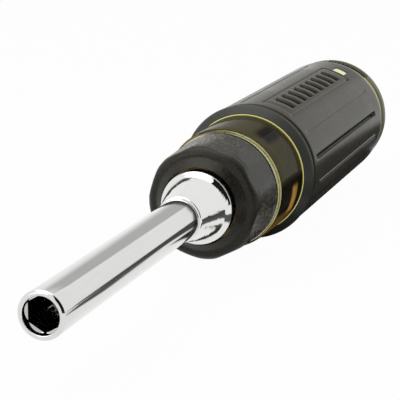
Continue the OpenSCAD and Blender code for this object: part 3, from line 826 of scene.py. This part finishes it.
@dataclass
class Shank:
    """The round shank with the hexagon socket in its mouth and the spindle behind."""

    radius: float = 4.7625
    mouth_radius: float = 3.706
    mouth_depth: float = 1.8
    mouth_round: float = 0.18
    socket_flat: float = 3.215
    socket_lead: float = 0.35
    socket_ease: float = 0.12
    socket_end: float = 19.8
    seat_x: float = 71.6
    seat_radius: float = 4.6025
    step_x: float = 91.4
    spindle_radius: float = 3.5
    end_x: float = 107.9
    edge: float = 0.45
    face_round: float = 0.08
    edge_round: float = 0.1
    strip: float = 6.0
    steps: int = 96

    def hexagon_radius(self, angle: float) -> float:
        """Returns the socket's radius at an angle in degrees, with a corner at 0."""
        return self.socket_flat / math.cos(math.radians(angle % 60.0 - 30.0))

    def build(self) -> None:
        """Builds the shank from a turned outline and dresses what sits in and on it."""
        lathe = Lathe([
            Corner(self.mouth_depth, self.mouth_radius),
            Corner(0.0, self.mouth_radius, self.mouth_round),
            Corner(0.0, self.radius - self.edge, self.face_round),
            Corner(self.edge, self.radius, self.edge_round),
            Corner(self.seat_x, self.radius),
            Corner(self.seat_x, self.seat_radius),
            Corner(self.step_x, self.seat_radius),
            Corner(self.step_x, self.spindle_radius),
            Corner(self.end_x, self.spindle_radius),
            Corner(self.end_x, 0.0),
        ])
        lathe.divide(self.edge, self.step_x, self.strip)
        mesh = lathe.turn(self.steps)
        self.sink_socket(mesh)
        make_piece(mesh, "shank", "spindle", Finish.SHANK, ["shank_tube"])
        dress_nodes(Finish.STEEL, "socket_magnet", "ratchet_gear", "thrust_washer",
                    "retaining_ring")

    def sink_socket(self, mesh: Mesh) -> None:
        """Extrudes the open edge of the mouth into the hexagon socket and closes it.

        Args:
            mesh: the turned shank, open at the mouth.
        """
        ring = [e for e in mesh.edges if e.is_boundary]
        lead_end = self.mouth_depth + self.socket_lead
        for depth, ease in ((self.mouth_depth, self.socket_ease), (lead_end, 0.0),
                            (self.socket_end, 0.0)):
            grown = bmesh.ops.extrude_edge_only(mesh, edges=ring)
            ring = [e for e in grown["geom"] if isinstance(e, bmesh.types.BMEdge)]
            for vert in {v for e in ring for v in e.verts}:
                vert.co.x = depth * MM
                wide = self.hexagon_radius(angle_of(vert.co)) + ease
                set_radius(vert, min(wide, self.mouth_radius) * MM)
            ring = [e for e in ring if e.is_boundary]
        bmesh.ops.contextual_create(mesh, geom=ring)
        close_up(mesh, MERGE / 2)


@dataclass
class NoseCone:
    """The chromed cone between the shank and the collar, with its bevelled rim."""

    neck_x: float = 71.6
    bore: float = 4.6025
    neck_foot: float = 4.7625
    neck_rise: float = 0.45
    neck_round: float = 0.35
    neck_run: float = 0.9
    neck_flare: float = 0.18
    rim_x: float = 82.6
    rim_radius: float = 8.55
    rim_band: float = 1.08
    rim_round: float = 0.12
    bevel_length: float = 1.0
    lip_front: float = 0.05
    lip_back: float = 0.2
    lip_rise: float = 0.3
    lip_round: float = 0.15
    back_x: float = 87.4
    back_round: float = 0.2
    strip: float = 1.5
    steps: int = 160

    def build(self) -> None:
        """Builds the cone from one turned outline."""
        neck = self.neck_foot + self.neck_rise
        lathe = Lathe([
            Corner(self.neck_x, self.bore),
            Corner(self.neck_x, neck, self.neck_round),
            Corner(self.neck_x + self.neck_run, neck + self.neck_flare),
            Corner(self.rim_x - self.bevel_length, self.rim_radius - self.rim_band, self.rim_round),
            Corner(self.rim_x - self.lip_front, self.rim_radius - self.lip_rise, self.lip_round),
            Corner(self.rim_x + self.lip_back, self.rim_radius, self.rim_round),
            Corner(self.back_x, self.rim_radius, self.back_round),
            Corner(self.back_x, self.bore),
        ], closed=True)
        lathe.divide(self.neck_x, self.rim_x, self.strip)
        mesh = lathe.turn(self.steps)
        make_piece(mesh, "chromed_cone", "spindle", Finish.CONE, ["nose_cone"])


@dataclass
class SelectorCollar:
    """The octagonal collar with its bevelled face, rounded lip and flared sides."""

    front_x: float = 84.4
    bore: float = 9.1
    bore_round: float = 0.12
    face_width: float = 2.0
    face_round: float = 0.25
    lip_length: float = 2.6
    lip_slope: float = 0.05
    lip_flat: float = 0.3
    corner_radius: float = 13.5
    crease_front: float = 0.08
    crease_back: float = 0.25
    crease_depth: float = 0.16
    crease_round: float = 0.05
    crease_rise: float = 0.01
    crease_edge: float = 0.06
    back_radius: float = 13.9
    back_slope: float = 0.02
    back_round: float = 0.25
    length: float = 16.5
    cavity_radius: float = 12.2
    front_wall: float = 3.1
    skin: float = 0.1
    flats: int = 8
    first_flat: float = 27.5
    flat_depth: float = 0.42
    run_share: float = 0.8
    corner_sharpness: float = 14.0
    strip: float = 0.8
    steps: int = 256

    def flat_radius(self, x: float, angle: float) -> float:
        """Returns the radius that the nearest flat allows.

        Args:
            x: the place along the axis in millimetres.
            angle: the angle round the axis in degrees.

        Returns:
            The radius in millimetres.
        """
        lip_back = self.front_x + self.face_width + self.lip_length
        run = self.run_share * self.length
        drop = self.flat_depth + (self.back_radius - self.corner_radius) * run / self.length
        middle = self.corner_radius - self.flat_depth + drop * (x - lip_back) / run
        off = angle_between(angle, self.first_flat, 360.0 / self.flats)
        return middle / math.cos(math.radians(off))

    def build(self) -> None:
        """Builds the turned collar and presses the flats into its outside."""
        face_r = self.bore + self.face_width
        lip_x = self.front_x + self.face_width
        lip_back = lip_x + self.lip_length
        back_x = self.front_x + self.length
        wall_x = self.front_x + self.front_wall
        lip_round = self.corner_radius - face_r - self.lip_flat
        lathe = Lathe([
            Corner(self.front_x, self.bore, self.bore_round),
            Corner(lip_x, face_r, self.face_round),
            Corner(lip_x + self.lip_slope, self.corner_radius, lip_round),
            Corner(lip_back - self.lip_slope, self.corner_radius),
            Corner(lip_back + self.crease_front, self.corner_radius - self.crease_depth,
                   self.crease_round),
            Corner(lip_back + self.crease_back, self.corner_radius + self.crease_rise,
                   self.crease_edge),
            Corner(back_x - self.back_slope, self.back_radius, self.back_round),
            Corner(back_x, self.cavity_radius),
            Corner(wall_x, self.cavity_radius),
            Corner(wall_x, self.bore),
        ], closed=True, rounding=7)
        lathe.divide(lip_back, back_x, self.strip)
        mesh = lathe.turn(self.steps)
        sharp = self.corner_sharpness
        for vert in mesh.verts:
            radius = radius_of(vert.co) / MM
            if radius > self.cavity_radius + self.skin:
                limit = self.flat_radius(vert.co.x / MM, angle_of(vert.co))
                low = min(radius, limit)
                both = math.exp(sharp * (low - radius)) + math.exp(sharp * (low - limit))
                set_radius(vert, (low - math.log(both) / sharp) * MM)
        make_piece(mesh, "octagonal_collar", "selector", Finish.COLLAR,
                   ["selector_collar"])
        dress_nodes(Finish.STEEL, "selector_cam", "pawl_a", "pawl_b")


@dataclass
class RatchetWorks:
    """The hidden works that show through the clear core."""

    housing: Sequence[str] = ("ratchet_housing", "housing_cover")
    bronzes: Sequence[str] = ("front_bush", "rear_bush", "pawl_spring")
    steels: Sequence[str] = ("pawl_pin_a", "pawl_pin_b", "detent_ball", "detent_spring")

    def build(self) -> None:
        """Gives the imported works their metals."""
        dress_nodes(Finish.HOUSING, *self.housing)
        dress_nodes(Finish.BRONZE, *self.bronzes)
        dress_nodes(Finish.STEEL, *self.steels)
        dress_nodes(Finish.RING, "spacer_ring")


@dataclass(frozen=True)
class Bead:
    """A narrow ring on the core: a glowing ring of painted highlight where the clear plastic lights
    up, unless it is the steel band.

    It starts at a place along X and has a length, an outer radius and a height above its inner
    radius. Its sink moves it out of the axis, to stand out on the lower front side only.
    """

    name: str
    start: float
    length: float
    outer: float
    height: float
    finish: Finish = Finish.CORE_EDGE
    sink: float = 0.0
    sink_side: float = -72.0
    edge_round: float = 0.05
    steps: int = 192

    def build(self) -> None:
        """Builds the ring as a turned solid and moves it by its sink."""
        end, inner = self.start + self.length, self.outer - self.height
        mesh = Lathe([
            Corner(self.start, inner),
            Corner(self.start, self.outer, self.edge_round),
            Corner(end, self.outer, self.edge_round),
            Corner(end, inner),
        ], closed=True).turn(self.steps)
        side, way = math.radians(self.sink_side), self.sink * MM
        bmesh.ops.translate(mesh, verts=mesh.verts[:],
                            vec=(0.0, way * math.sin(side), way * math.cos(side)))
        make_piece(mesh, self.name, "handle", self.finish)


@dataclass
class ClearCore:
    """The smoky clear core with its bare front, its window in the grip and its end lip."""

    front_x: float = 101.8
    front_round: float = 0.12
    step_radius: float = 14.2
    step_length: float = 0.9
    step_slope: float = 0.1
    step_round: float = 0.3
    front_radius: float = 14.6
    grip_x: float = 120.1
    radius: float = 14.97
    grip_end: float = 202.2
    lip_slope: float = 0.02
    lip_edge: float = 0.1
    end_x: float = 202.8
    end_round: float = 0.15
    lip_radius: float = 15.8
    bore: float = 13.1
    bore_x: float = 127.8
    bore_round: float = 0.8
    housing_radius: float = 10.35
    housing_end: float = 117.9
    strip: float = 4.0
    steps: int = 192

    def build(self) -> None:
        """Builds the core as one turned solid, open for the magazine, and its beads."""
        step_x = self.front_x + self.step_length
        lathe = Lathe([
            Corner(self.housing_end, 0.0),
            Corner(self.housing_end, self.housing_radius),
            Corner(self.front_x, self.housing_radius),
            Corner(self.front_x, self.step_radius, self.front_round),
            Corner(step_x, self.step_radius),
            Corner(step_x + self.step_slope, self.front_radius, self.step_round),
            Corner(self.grip_x, self.radius),
            Corner(self.grip_end, self.radius),
            Corner(self.grip_end + self.lip_slope, self.lip_radius, self.lip_edge),
            Corner(self.end_x, self.lip_radius, self.end_round),
            Corner(self.end_x, self.bore, self.end_round),
            Corner(self.bore_x, self.bore, self.bore_round),
            Corner(self.bore_x, 0.0),
        ], rounding=5)
        lathe.divide(self.front_x, self.end_x, self.strip)
        mesh = lathe.turn(self.steps)
        make_piece(mesh, "smoky_core", "handle", Finish.CORE, ["core_body"])
        for bead in self.beads():
            bead.build()

    def beads(self) -> list[Bead]:
        """Returns the glowing beads of painted highlight and the steel band at the core's ends."""
        return [
            # All but the steel band glow, painted highlights.
            Bead("front_shoulder", self.grip_x - 0.24, 0.2, self.radius + 0.1, 0.5),
            Bead("neck_bead", self.front_x - 0.04, 0.08, self.step_radius - 0.28, 0.2,
                 Finish.NECK_EDGE, sink=0.25),
            Bead("step_bead", self.front_x + self.step_length, 0.07, self.front_radius - 0.38,
                 0.2, Finish.NECK_EDGE, sink=0.2),
            Bead("end_bead", self.grip_end + 0.01, 0.29, self.lip_radius + 0.14, 0.6),
            Bead("step_band", self.front_x + 0.4, 0.12, self.step_radius - 0.06, 0.2,
                 Finish.RING, sink=0.15),
        ]


@dataclass
class RubberGrip:
    """The rubber sleeve with its flange, grooves, ribs, side panel and window.

    Sizes are in millimetres and degrees. Blends give where a cut's side starts and ends, from
    the cut's middle, and inlay_corner is the least angle, in radians, of an edge that is rounded.
    """

    front_x: float = 120.1
    end_x: float = 202.2
    inner: float = 15.0
    radius: float = 16.9
    flange_radius: float = 17.1
    flange_foot: float = 0.05
    flange_rise: float = 0.25
    flange_rounds: tuple[float, ...] = (0.1, 0.5, 0.3, 0.15)
    flange_slope: float = 1.5
    flange_length: float = 2.4
    flange_overlap: float = 0.6
    groove_width: float = 1.9
    groove_depth: float = 0.75
    groove_slope: float = 0.3
    groove_rounds: Pair = (0.2, 0.3)
    panel_angle: float = -20.0
    panel_half: float = 14.0
    panel_start: float = 129.1
    panel_end: float = 186.1
    panel_margin: float = 0.5
    panel_line: float = 0.3
    panel_blend: Pair = (0.3, 1.2)
    panel_end_blend: Pair = (0.1, 0.5)
    slot_first: float = 133.2
    slot_pitch: float = 5.6
    slot_length: float = 3.0
    slot_half: float = 9.0
    slot_depth: float = 0.45
    slot_count: int = 9
    slot_wall: float = 0.08
    long_start: float = 127.6
    long_end: float = 191.2
    long_fade: float = 0.8
    groove_angles: tuple[float, ...] = (-57.0, 57.0, 123.0, -123.0)
    long_depth: float = 0.9
    groove_blend: Pair = (1.2, 2.3)
    rib_angles: tuple[float, ...] = (-80.0, 80.0, 100.0, -100.0)
    rib_apart: float = 1.2
    rib_height: float = 0.28
    rib_blend: Pair = (0.3, 1.1)
    crease_angles: tuple[float, ...] = (-33.0, 33.0, 147.0, -147.0)
    crease_depth: float = 0.2
    crease_blend: Pair = (0.3, 1.5)
    window_start: float = 187.6
    window_length: float = 4.2
    window_half: float = 5.8
    window_shift: float = -1.5
    window_depth: float = 0.6
    window_ease: float = 0.03
    window_side_ease: float = 0.2
    window_walls: Pair = (0.1, 0.02)
    end_slope: tuple[Triple, ...] = ((4.4, 0.0, 1.0), (2.2, 0.35, 0.8), (0.8, 0.85, 0.6))
    end_rise: float = 0.5
    end_round: float = 0.15
    end_whole: float = 0.5
    skin: float = 0.3
    strip: float = 0.8
    steps: int = 480
    flange_steps: int = 240
    sharp: float = 50.0
    floor_in: float = 0.9
    floor_half: float = 1.1
    floor_gap: float = 0.03
    slot_side: float = 0.4
    pad_drop: float = 0.12
    notch: Pair = (0.1, 0.75)
    notch_half: float = 20.5
    notch_drop: float = 0.75
    inlay_depth: float = 0.5
    inlay_edge: float = 0.05
    inlay_corner: float = 1.0
    inlay_rounding: int = 3
    inlay_steps: int = 12

    def slots(self) -> list[Pair]:
        """Returns the start and end of each anti-slip slot of the panel in millimetres."""
        starts = [self.slot_first + place * self.slot_pitch for place in range(self.slot_count)]
        return [(start, start + self.slot_length) for start in starts]

    def relief(self, x: float, angle: float) -> float:
        """Returns how far the surface stands above the plain sleeve.

        Args:
            x: the place along the axis in millimetres.
            angle: the angle round the axis in degrees.

        Returns:
            The height in millimetres, negative for a cut.
        """
        off = angle_between(angle, self.panel_angle)
        height = 0.0
        if self.panel_start - self.panel_margin < x < self.panel_end + self.panel_margin:
            height -= self.panel_line * self.inside(abs(off) - self.panel_half, self.panel_blend)
        if abs(off) < self.panel_half:
            for middle in (self.panel_start, self.panel_end):
                height -= self.panel_line * self.inside(x - middle, self.panel_end_blend)
        if abs(off) < self.slot_half and any(start < x < end for start, end in self.slots()):
            height -= self.slot_depth
        run = smooth_step(x, self.long_start, self.long_start + self.long_fade) * (
            1 - smooth_step(x, self.long_end - self.long_fade, self.long_end))
        for middles, apart, blend, rise in (
                (self.groove_angles, 0.0, self.groove_blend, -self.long_depth),
                (self.rib_angles, self.rib_apart, self.rib_blend, self.rib_height),
                (self.crease_angles, 0.0, self.crease_blend, -self.crease_depth)):
            for middle in middles:
                beside = abs(angle_between(off, middle)) - apart
                height += rise * run * self.inside(beside, blend)
        half = self.window_length / 2
        if (abs(x - self.window_start - half) < half + self.window_ease
                and abs(off - self.window_shift) < self.window_half + self.window_side_ease):
            height -= self.window_depth
        return height

    def inside(self, off: float, blend: Pair) -> float:
        """Returns 1 at a cut's middle and 0 outside it, falling smoothly over its blend."""
        return 1 - smooth_step(abs(off), *blend)

    def build(self) -> None:
        """Builds the flange, the sleeve with its relief and the strips that lie in its cuts: the
        window's glowing pad, a painted highlight, and near-black strips of painted shade.
        """
        back_x = self.front_x + self.flange_length
        bottom = self.radius - self.groove_depth
        self.build_flange(back_x, bottom)
        self.build_sleeve(back_x, bottom)
        self.build_inlays()

    def build_flange(self, back_x: float, bottom: float) -> None:
        """Builds the flange at the sleeve's front.

        Args:
            back_x: the back of the flange's rim in millimetres.
            bottom: the radius at the bottom of the groove behind it.
        """
        split_x = back_x + self.flange_overlap
        foot, slope, rim, bed = self.flange_rounds
        mesh = Lathe([
            Corner(self.front_x, self.inner),
            Corner(self.front_x + self.flange_foot, self.inner + self.flange_rise, foot),
            Corner(self.front_x + self.flange_slope, self.flange_radius, slope),
            Corner(back_x, self.flange_radius, rim),
            Corner(back_x + self.groove_slope, bottom, bed),
            Corner(split_x, bottom),
            Corner(split_x, self.inner),
        ], closed=True, rounding=6).turn(self.flange_steps)
        make_piece(mesh, "sleeve_flange", "handle", Finish.FLANGE,
                   sharp=self.sharp)

    def build_sleeve(self, back_x: float, bottom: float) -> None:
        """Builds the sleeve from a turned outline and raises its relief.

        Args:
            back_x: the back of the flange's rim in millimetres.
            bottom: the radius at the bottom of the groove behind it.
        """
        split_x = back_x + self.flange_overlap
        groove_end = back_x + self.groove_width
        window_end = self.window_start + self.window_length
        far, near = self.window_walls
        walls = [x + side for slot in self.slots() for x in slot
                 for side in (-self.slot_wall, self.slot_wall)]
        walls += [self.window_start - far, self.window_start - near, window_end + near,
                  window_end + far]
        lathe = Lathe([
            Corner(split_x, self.inner),
            Corner(split_x, bottom),
            Corner(groove_end, bottom, self.groove_rounds[0]),
            Corner(groove_end + self.groove_slope, self.radius, self.groove_rounds[1]),
            *(Corner(x, self.radius) for x in walls),
            *(Corner(self.end_x - back, self.radius - drop, soft)
              for back, drop, soft in self.end_slope),
            Corner(self.end_x, self.inner + self.end_rise, self.end_round),
            Corner(self.end_x, self.inner),
        ], closed=True, rounding=6)
        lathe.divide(groove_end, self.end_x - self.end_whole, self.strip)
        mesh = lathe.turn(self.steps)
        for vert in mesh.verts:
            radius = radius_of(vert.co) / MM
            if radius > self.inner + self.skin and vert.co.x > groove_end * MM:
                set_radius(vert, (radius + self.relief(vert.co.x / MM, angle_of(vert.co))) * MM)
        make_piece(mesh, "rubber_sleeve", "handle", Finish.RUBBER,
                   ["grip_sleeve"], sharp=self.sharp)

    def build_inlays(self) -> None:
        """Builds the window's glowing pad, a painted highlight, and near-black strips of painted
        shade in the grooves, the notch and the slots.
        """
        window = (self.window_start, self.window_start + self.window_length)
        # The window's pad glows, a painted highlight.
        self.build_inlay("window_pad", window, self.window_shift, self.window_half,
                         self.pad_drop, Finish.WINDOW)
        # Near-black strips of painted shade at the bottom of the grooves, the notch and the slots.
        span = (self.long_start + self.floor_in, self.long_end - self.floor_in)
        for place, off in enumerate(self.groove_angles):
            self.build_inlay(f"groove_floor_{place + 1}", span, off, self.floor_half,
                             self.long_depth - self.floor_gap, Finish.DEEP_RUBBER)
        notch = (self.end_x + self.notch[0], self.end_x + self.notch[1])
        self.build_inlay("notch_shade", notch, 0.0, self.notch_half, self.notch_drop,
                         Finish.DEEP_RUBBER)
        for place, slot in enumerate(self.slots()):
            self.build_inlay(f"slot_floor_{place + 1}", slot, 0.0, self.slot_half - self.slot_side,
                             self.slot_depth - self.floor_gap, Finish.DEEP_RUBBER)

    def build_inlay(self, name: str, span: Pair, off: float, half_width: float, drop: float,
                    finish: Finish) -> None:
        """Builds a curved strip that lies in a cut of the sleeve.

        Args:
            name: the piece's name.
            span: its start and end along the axis in millimetres.
            off: its middle's angle from the panel's middle in degrees.
            half_width: half its width in degrees.
            drop: how far its top lies below the sleeve's radius in millimetres.
            finish: its finish.
        """
        mesh = bmesh.new()
        start, end = span[0] * MM, span[1] * MM
        low, high = (self.radius - drop - self.inlay_depth) * MM, (self.radius - drop) * MM
        middle = math.radians(self.panel_angle + off)
        half = math.radians(half_width)
        corners = [mesh.verts.new((x, r * math.sin(middle - half), r * math.cos(middle - half)))
                   for x, r in ((start, low), (end, low), (end, high), (start, high))]
        mesh.faces.new(corners)
        bmesh.ops.spin(mesh, geom=mesh.faces[:], cent=CENTRE, axis=AXIS, dvec=CENTRE,
                       angle=-2 * half, steps=self.inlay_steps, use_merge=False,
                       use_duplicate=False)
        bmesh.ops.recalc_face_normals(mesh, faces=mesh.faces[:])
        rims = [e for e in mesh.edges
                if e.is_manifold and e.calc_face_angle(0.0) > self.inlay_corner]
        bmesh.ops.bevel(mesh, geom=rims, offset=self.inlay_edge * MM, offset_type="OFFSET",
                        segments=self.inlay_rounding, profile=0.5, affect="EDGES", material=-1)
        make_piece(mesh, name, "handle", finish)


@dataclass
class BitMagazine:
    """The pull-out magazine: cap, carrier, seal and seven bits."""

    bits: int = 7

    def build(self) -> None:
        """Gives the magazine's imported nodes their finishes."""
        dress_nodes(Finish.CAP, "end_cap")
        dress_nodes(Finish.CARRIER, "bit_carrier")
        dress_nodes(Finish.SEAL, "cap_seal")
        dress_nodes(Finish.BIT, *(f"bit_{place + 1}" for place in range(self.bits)))


def build_plane(name: str, half: Pair, place: Matrix, material: bpy.types.Material
                ) -> bpy.types.Object:
    """Builds a flat sheet of the studio.

    Args:
        name: the sheet's name.
        half: its half sizes in metres.
        place: its place and turn.
        material: its material.

    Returns:
        The sheet's object.
    """
    mesh = bmesh.new()
    bmesh.ops.create_grid(mesh, x_segments=1, y_segments=1, size=1.0)
    bmesh.ops.scale(mesh, verts=mesh.verts[:], vec=(*half, 1.0))
    data = bpy.data.meshes.new(name)
    mesh.to_mesh(data)
    mesh.free()
    data.materials.append(material)
    sheet = add_object(name, data)
    sheet.matrix_world = place
    return sheet


@dataclass(frozen=True)
class Card:
    """A card with soft edges that only shiny and clear surfaces show: painted shade, seen only in
    reflections.

    The half sizes run sideways and up or along, and the soft widths go right, left, low and
    high. A card lies face up unless it is given a direction to face.
    """

    name: str
    place: Triple
    half: Pair
    soft: tuple[float, float, float, float]
    level: float
    turn: float = 0.0
    facing: Triple | None = None

    def build(self) -> None:
        """Builds the card and hides it from the camera and from matt surfaces."""
        aim = Matrix.Identity(4)
        if self.facing:
            aim = Vector(self.facing).to_track_quat("Z", "Y").to_matrix().to_4x4()
        turn = Matrix.Rotation(math.radians(self.turn), 4, "Z")
        place = Matrix.Translation(self.place) @ aim @ turn
        card = build_plane(self.name, self.half, place, self.material())
        card.visible_camera = False
        card.visible_diffuse = False
        card.visible_shadow = False

    def material(self) -> bpy.types.Material:
        """Builds the card's material, an emission of painted shade that fades to clear at the
        edges.

        Returns:
            The material.
        """
        sheet = MaterialSheet(self.name)
        split = sheet.node("SeparateXYZ")
        sheet.link(sheet.node("TexCoord").outputs["Object"], split.inputs[0])
        mask: Socket | float = 1.0
        for axis, half, sign, soft in zip("XXYY", (self.half[0],) * 2 + (self.half[1],) * 2,
                                          (1.0, -1.0, -1.0, 1.0), self.soft):
            inside = sheet.math("SUBTRACT", half, sheet.product(split.outputs[axis], sign))
            mask = sheet.product(sheet.ramp(inside, 0.0, soft), mask)
        glow = sheet.node("Emission", in_Strength=self.level)
        sheet.mix_shaders(mask, sheet.node("BsdfTransparent"), glow, sheet.output)
        return sheet.material


@dataclass(frozen=True)
class Lamp:
    """A soft square lamp that points at the middle of the tool."""

    name: str
    place: Triple
    size: float
    power: float
    aim: Triple = (0.1, 0.0, 0.0)

    def build(self) -> None:
        """Builds the lamp."""
        data = bpy.data.lights.new(self.name, "AREA")
        data.shape = "SQUARE"
        data.size = self.size
        data.energy = self.power
        lamp = add_object(self.name, data)
        lamp.location = self.place
        way = Vector(self.aim) - Vector(self.place)
        lamp.rotation_euler = way.to_track_quat("-Z", "Y").to_euler()


@dataclass
class Studio:
    """The white studio: world, floor, cards of painted shade seen in reflections, lamps and camera.
    """

    lens_px: float = 1520.0
    picture_px: float = 400.0
    sensor: float = 36.0
    clip: Pair = (0.01, 20.0)
    axis_turn: float = 19.34
    axis_tilt: float = 13.92
    tip_place: Triple = (-28.41, -20.62, 270.2)
    shift: float = 0.0006
    world_level: float = 0.45
    world_colour: Colour = (0.98, 1.0, 1.0)
    floor_place: Triple = (0.1, 0.0, -0.0171)
    floor_half: float = 4.0
    floor_colour: Colour = (0.6, 0.6, 0.6)
    floor_glow_share: float = 0.975
    # Cards of painted shade, seen only in reflections: the handle's shadow on the floor beside it
    # and under it, a dark sheet on the camera's side and a grey sheet beyond the tool's end that
    # darkens the shank's upper side.
    cards: list[Card] = field(default_factory=lambda: [
        Card("near_shade", (0.096, -0.042, -0.0169), (0.04, 0.0165),
             (0.008, 0.012, 0.006, 0.006), 0.11, turn=-8.0),
        Card("far_shade", (0.21, -0.062, -0.0168), (0.1, 0.05),
             (0.05, 0.012, 0.025, 0.004), 0.075, turn=-3.0),
        Card("under_shade", (0.16, -0.002, -0.0167), (0.066, 0.018),
             (0.004, 0.004, 0.004, 0.004), 0.02),
        Card("camera_side", (-0.236, -0.497, 0.62), (0.267, 0.68),
             (0.02, 0.03, 0.02, 0.1), 0.012, facing=(0.559, 0.829, 0.0)),
        Card("seam", (1.55, 0.33, 0.75), (0.5, 0.6),
             (0.01, 0.45, 0.2, 0.5), 0.55, facing=(-1.0, 0.0, 0.0)),
    ])
    lamps: list[Lamp] = field(default_factory=lambda: [
        Lamp("top_lamp", (0.0, 0.12, 0.6), 0.6, 2.2),
        Lamp("left_lamp", (-0.45, 0.35, 0.3), 0.4, 0.8),
    ])

    def camera_axes(self) -> tuple[Vector, Vector, Vector]:
        """Returns the camera's right, up and forward directions in the shared frame."""
        turn, tilt = math.radians(self.axis_turn), math.radians(self.axis_tilt)
        axis = Vector((math.sin(turn), math.cos(turn) * math.sin(tilt),
                       math.cos(turn) * math.cos(tilt)))
        up = Vector((0.0, math.cos(tilt), -math.sin(tilt)))
        side = Vector((-math.cos(turn), math.sin(turn) * math.sin(tilt),
                       math.sin(turn) * math.cos(tilt)))
        return tuple(Vector((axis[k], side[k], up[k])) for k in range(3))

    def build_camera(self) -> None:
        """Places the camera so that the tool falls on the frame as in the photograph."""
        right, up, forward = self.camera_axes()
        tip = self.tip_place
        place = -(right * tip[0] + up * tip[1] + forward * tip[2]) * MM
        data = bpy.data.cameras.new("photo_camera")
        data.sensor_width = self.sensor
        data.lens = self.lens_px / self.picture_px * self.sensor
        data.clip_start, data.clip_end = self.clip
        data.shift_x, data.shift_y = -self.shift, self.shift
        camera = add_object("photo_camera", data)
        axes = Matrix((right, up, -forward)).transposed().to_4x4()
        camera.matrix_world = Matrix.Translation(place) @ axes
        bpy.context.scene.camera = camera

    def build_world(self) -> None:
        """Lights the world softly and shows it white to the camera, metal and clear plastic."""
        world = bpy.data.worlds.new("studio")
        world.use_nodes = True
        bpy.context.scene.world = world
        sheet = ShaderSheet(world.node_tree)
        sheet.tree.nodes.clear()
        soft = sheet.node("Background", in_Color=rgba(self.world_colour),
                          in_Strength=self.world_level)
        white = sheet.node("Background", in_Color=rgba(WHITE), in_Strength=1.0)
        sheet.mix_shaders(sheet.seen(), soft, white, sheet.node("OutputWorld"))

    def build_floor(self) -> None:
        """Builds the floor, which shows white to the camera and keeps a faint shadow."""
        sheet = MaterialSheet("floor_white")
        matt = sheet.node("BsdfDiffuse", in_Color=rgba(self.floor_colour))
        glow = sheet.node("Emission", in_Strength=1.0)
        share = sheet.product(sheet.seen(), self.floor_glow_share)
        sheet.mix_shaders(share, matt, glow, sheet.output)
        floor = build_plane("floor", (self.floor_half, self.floor_half),
                            Matrix.Translation(self.floor_place), sheet.material)

    def build(self) -> None:
        """Builds the whole studio."""
        self.build_camera()
        self.build_world()
        self.build_floor()
        for piece in (*self.cards, *self.lamps):
            piece.build()
        bpy.context.scene.view_settings.view_transform = "Standard"


def main() -> None:
    """Builds the tool's sub-assemblies in order, then the studio."""
    logging.basicConfig(level=logging.INFO, format="%(name)s: %(message)s")
    for part in (Shank(), NoseCone(), SelectorCollar(), RatchetWorks(), ClearCore(),
                 RubberGrip(), BitMagazine()):
        LOG.info("building %s", type(part).__name__)
        part.build()
    Studio().build()


if __name__ == "__main__":
    main()
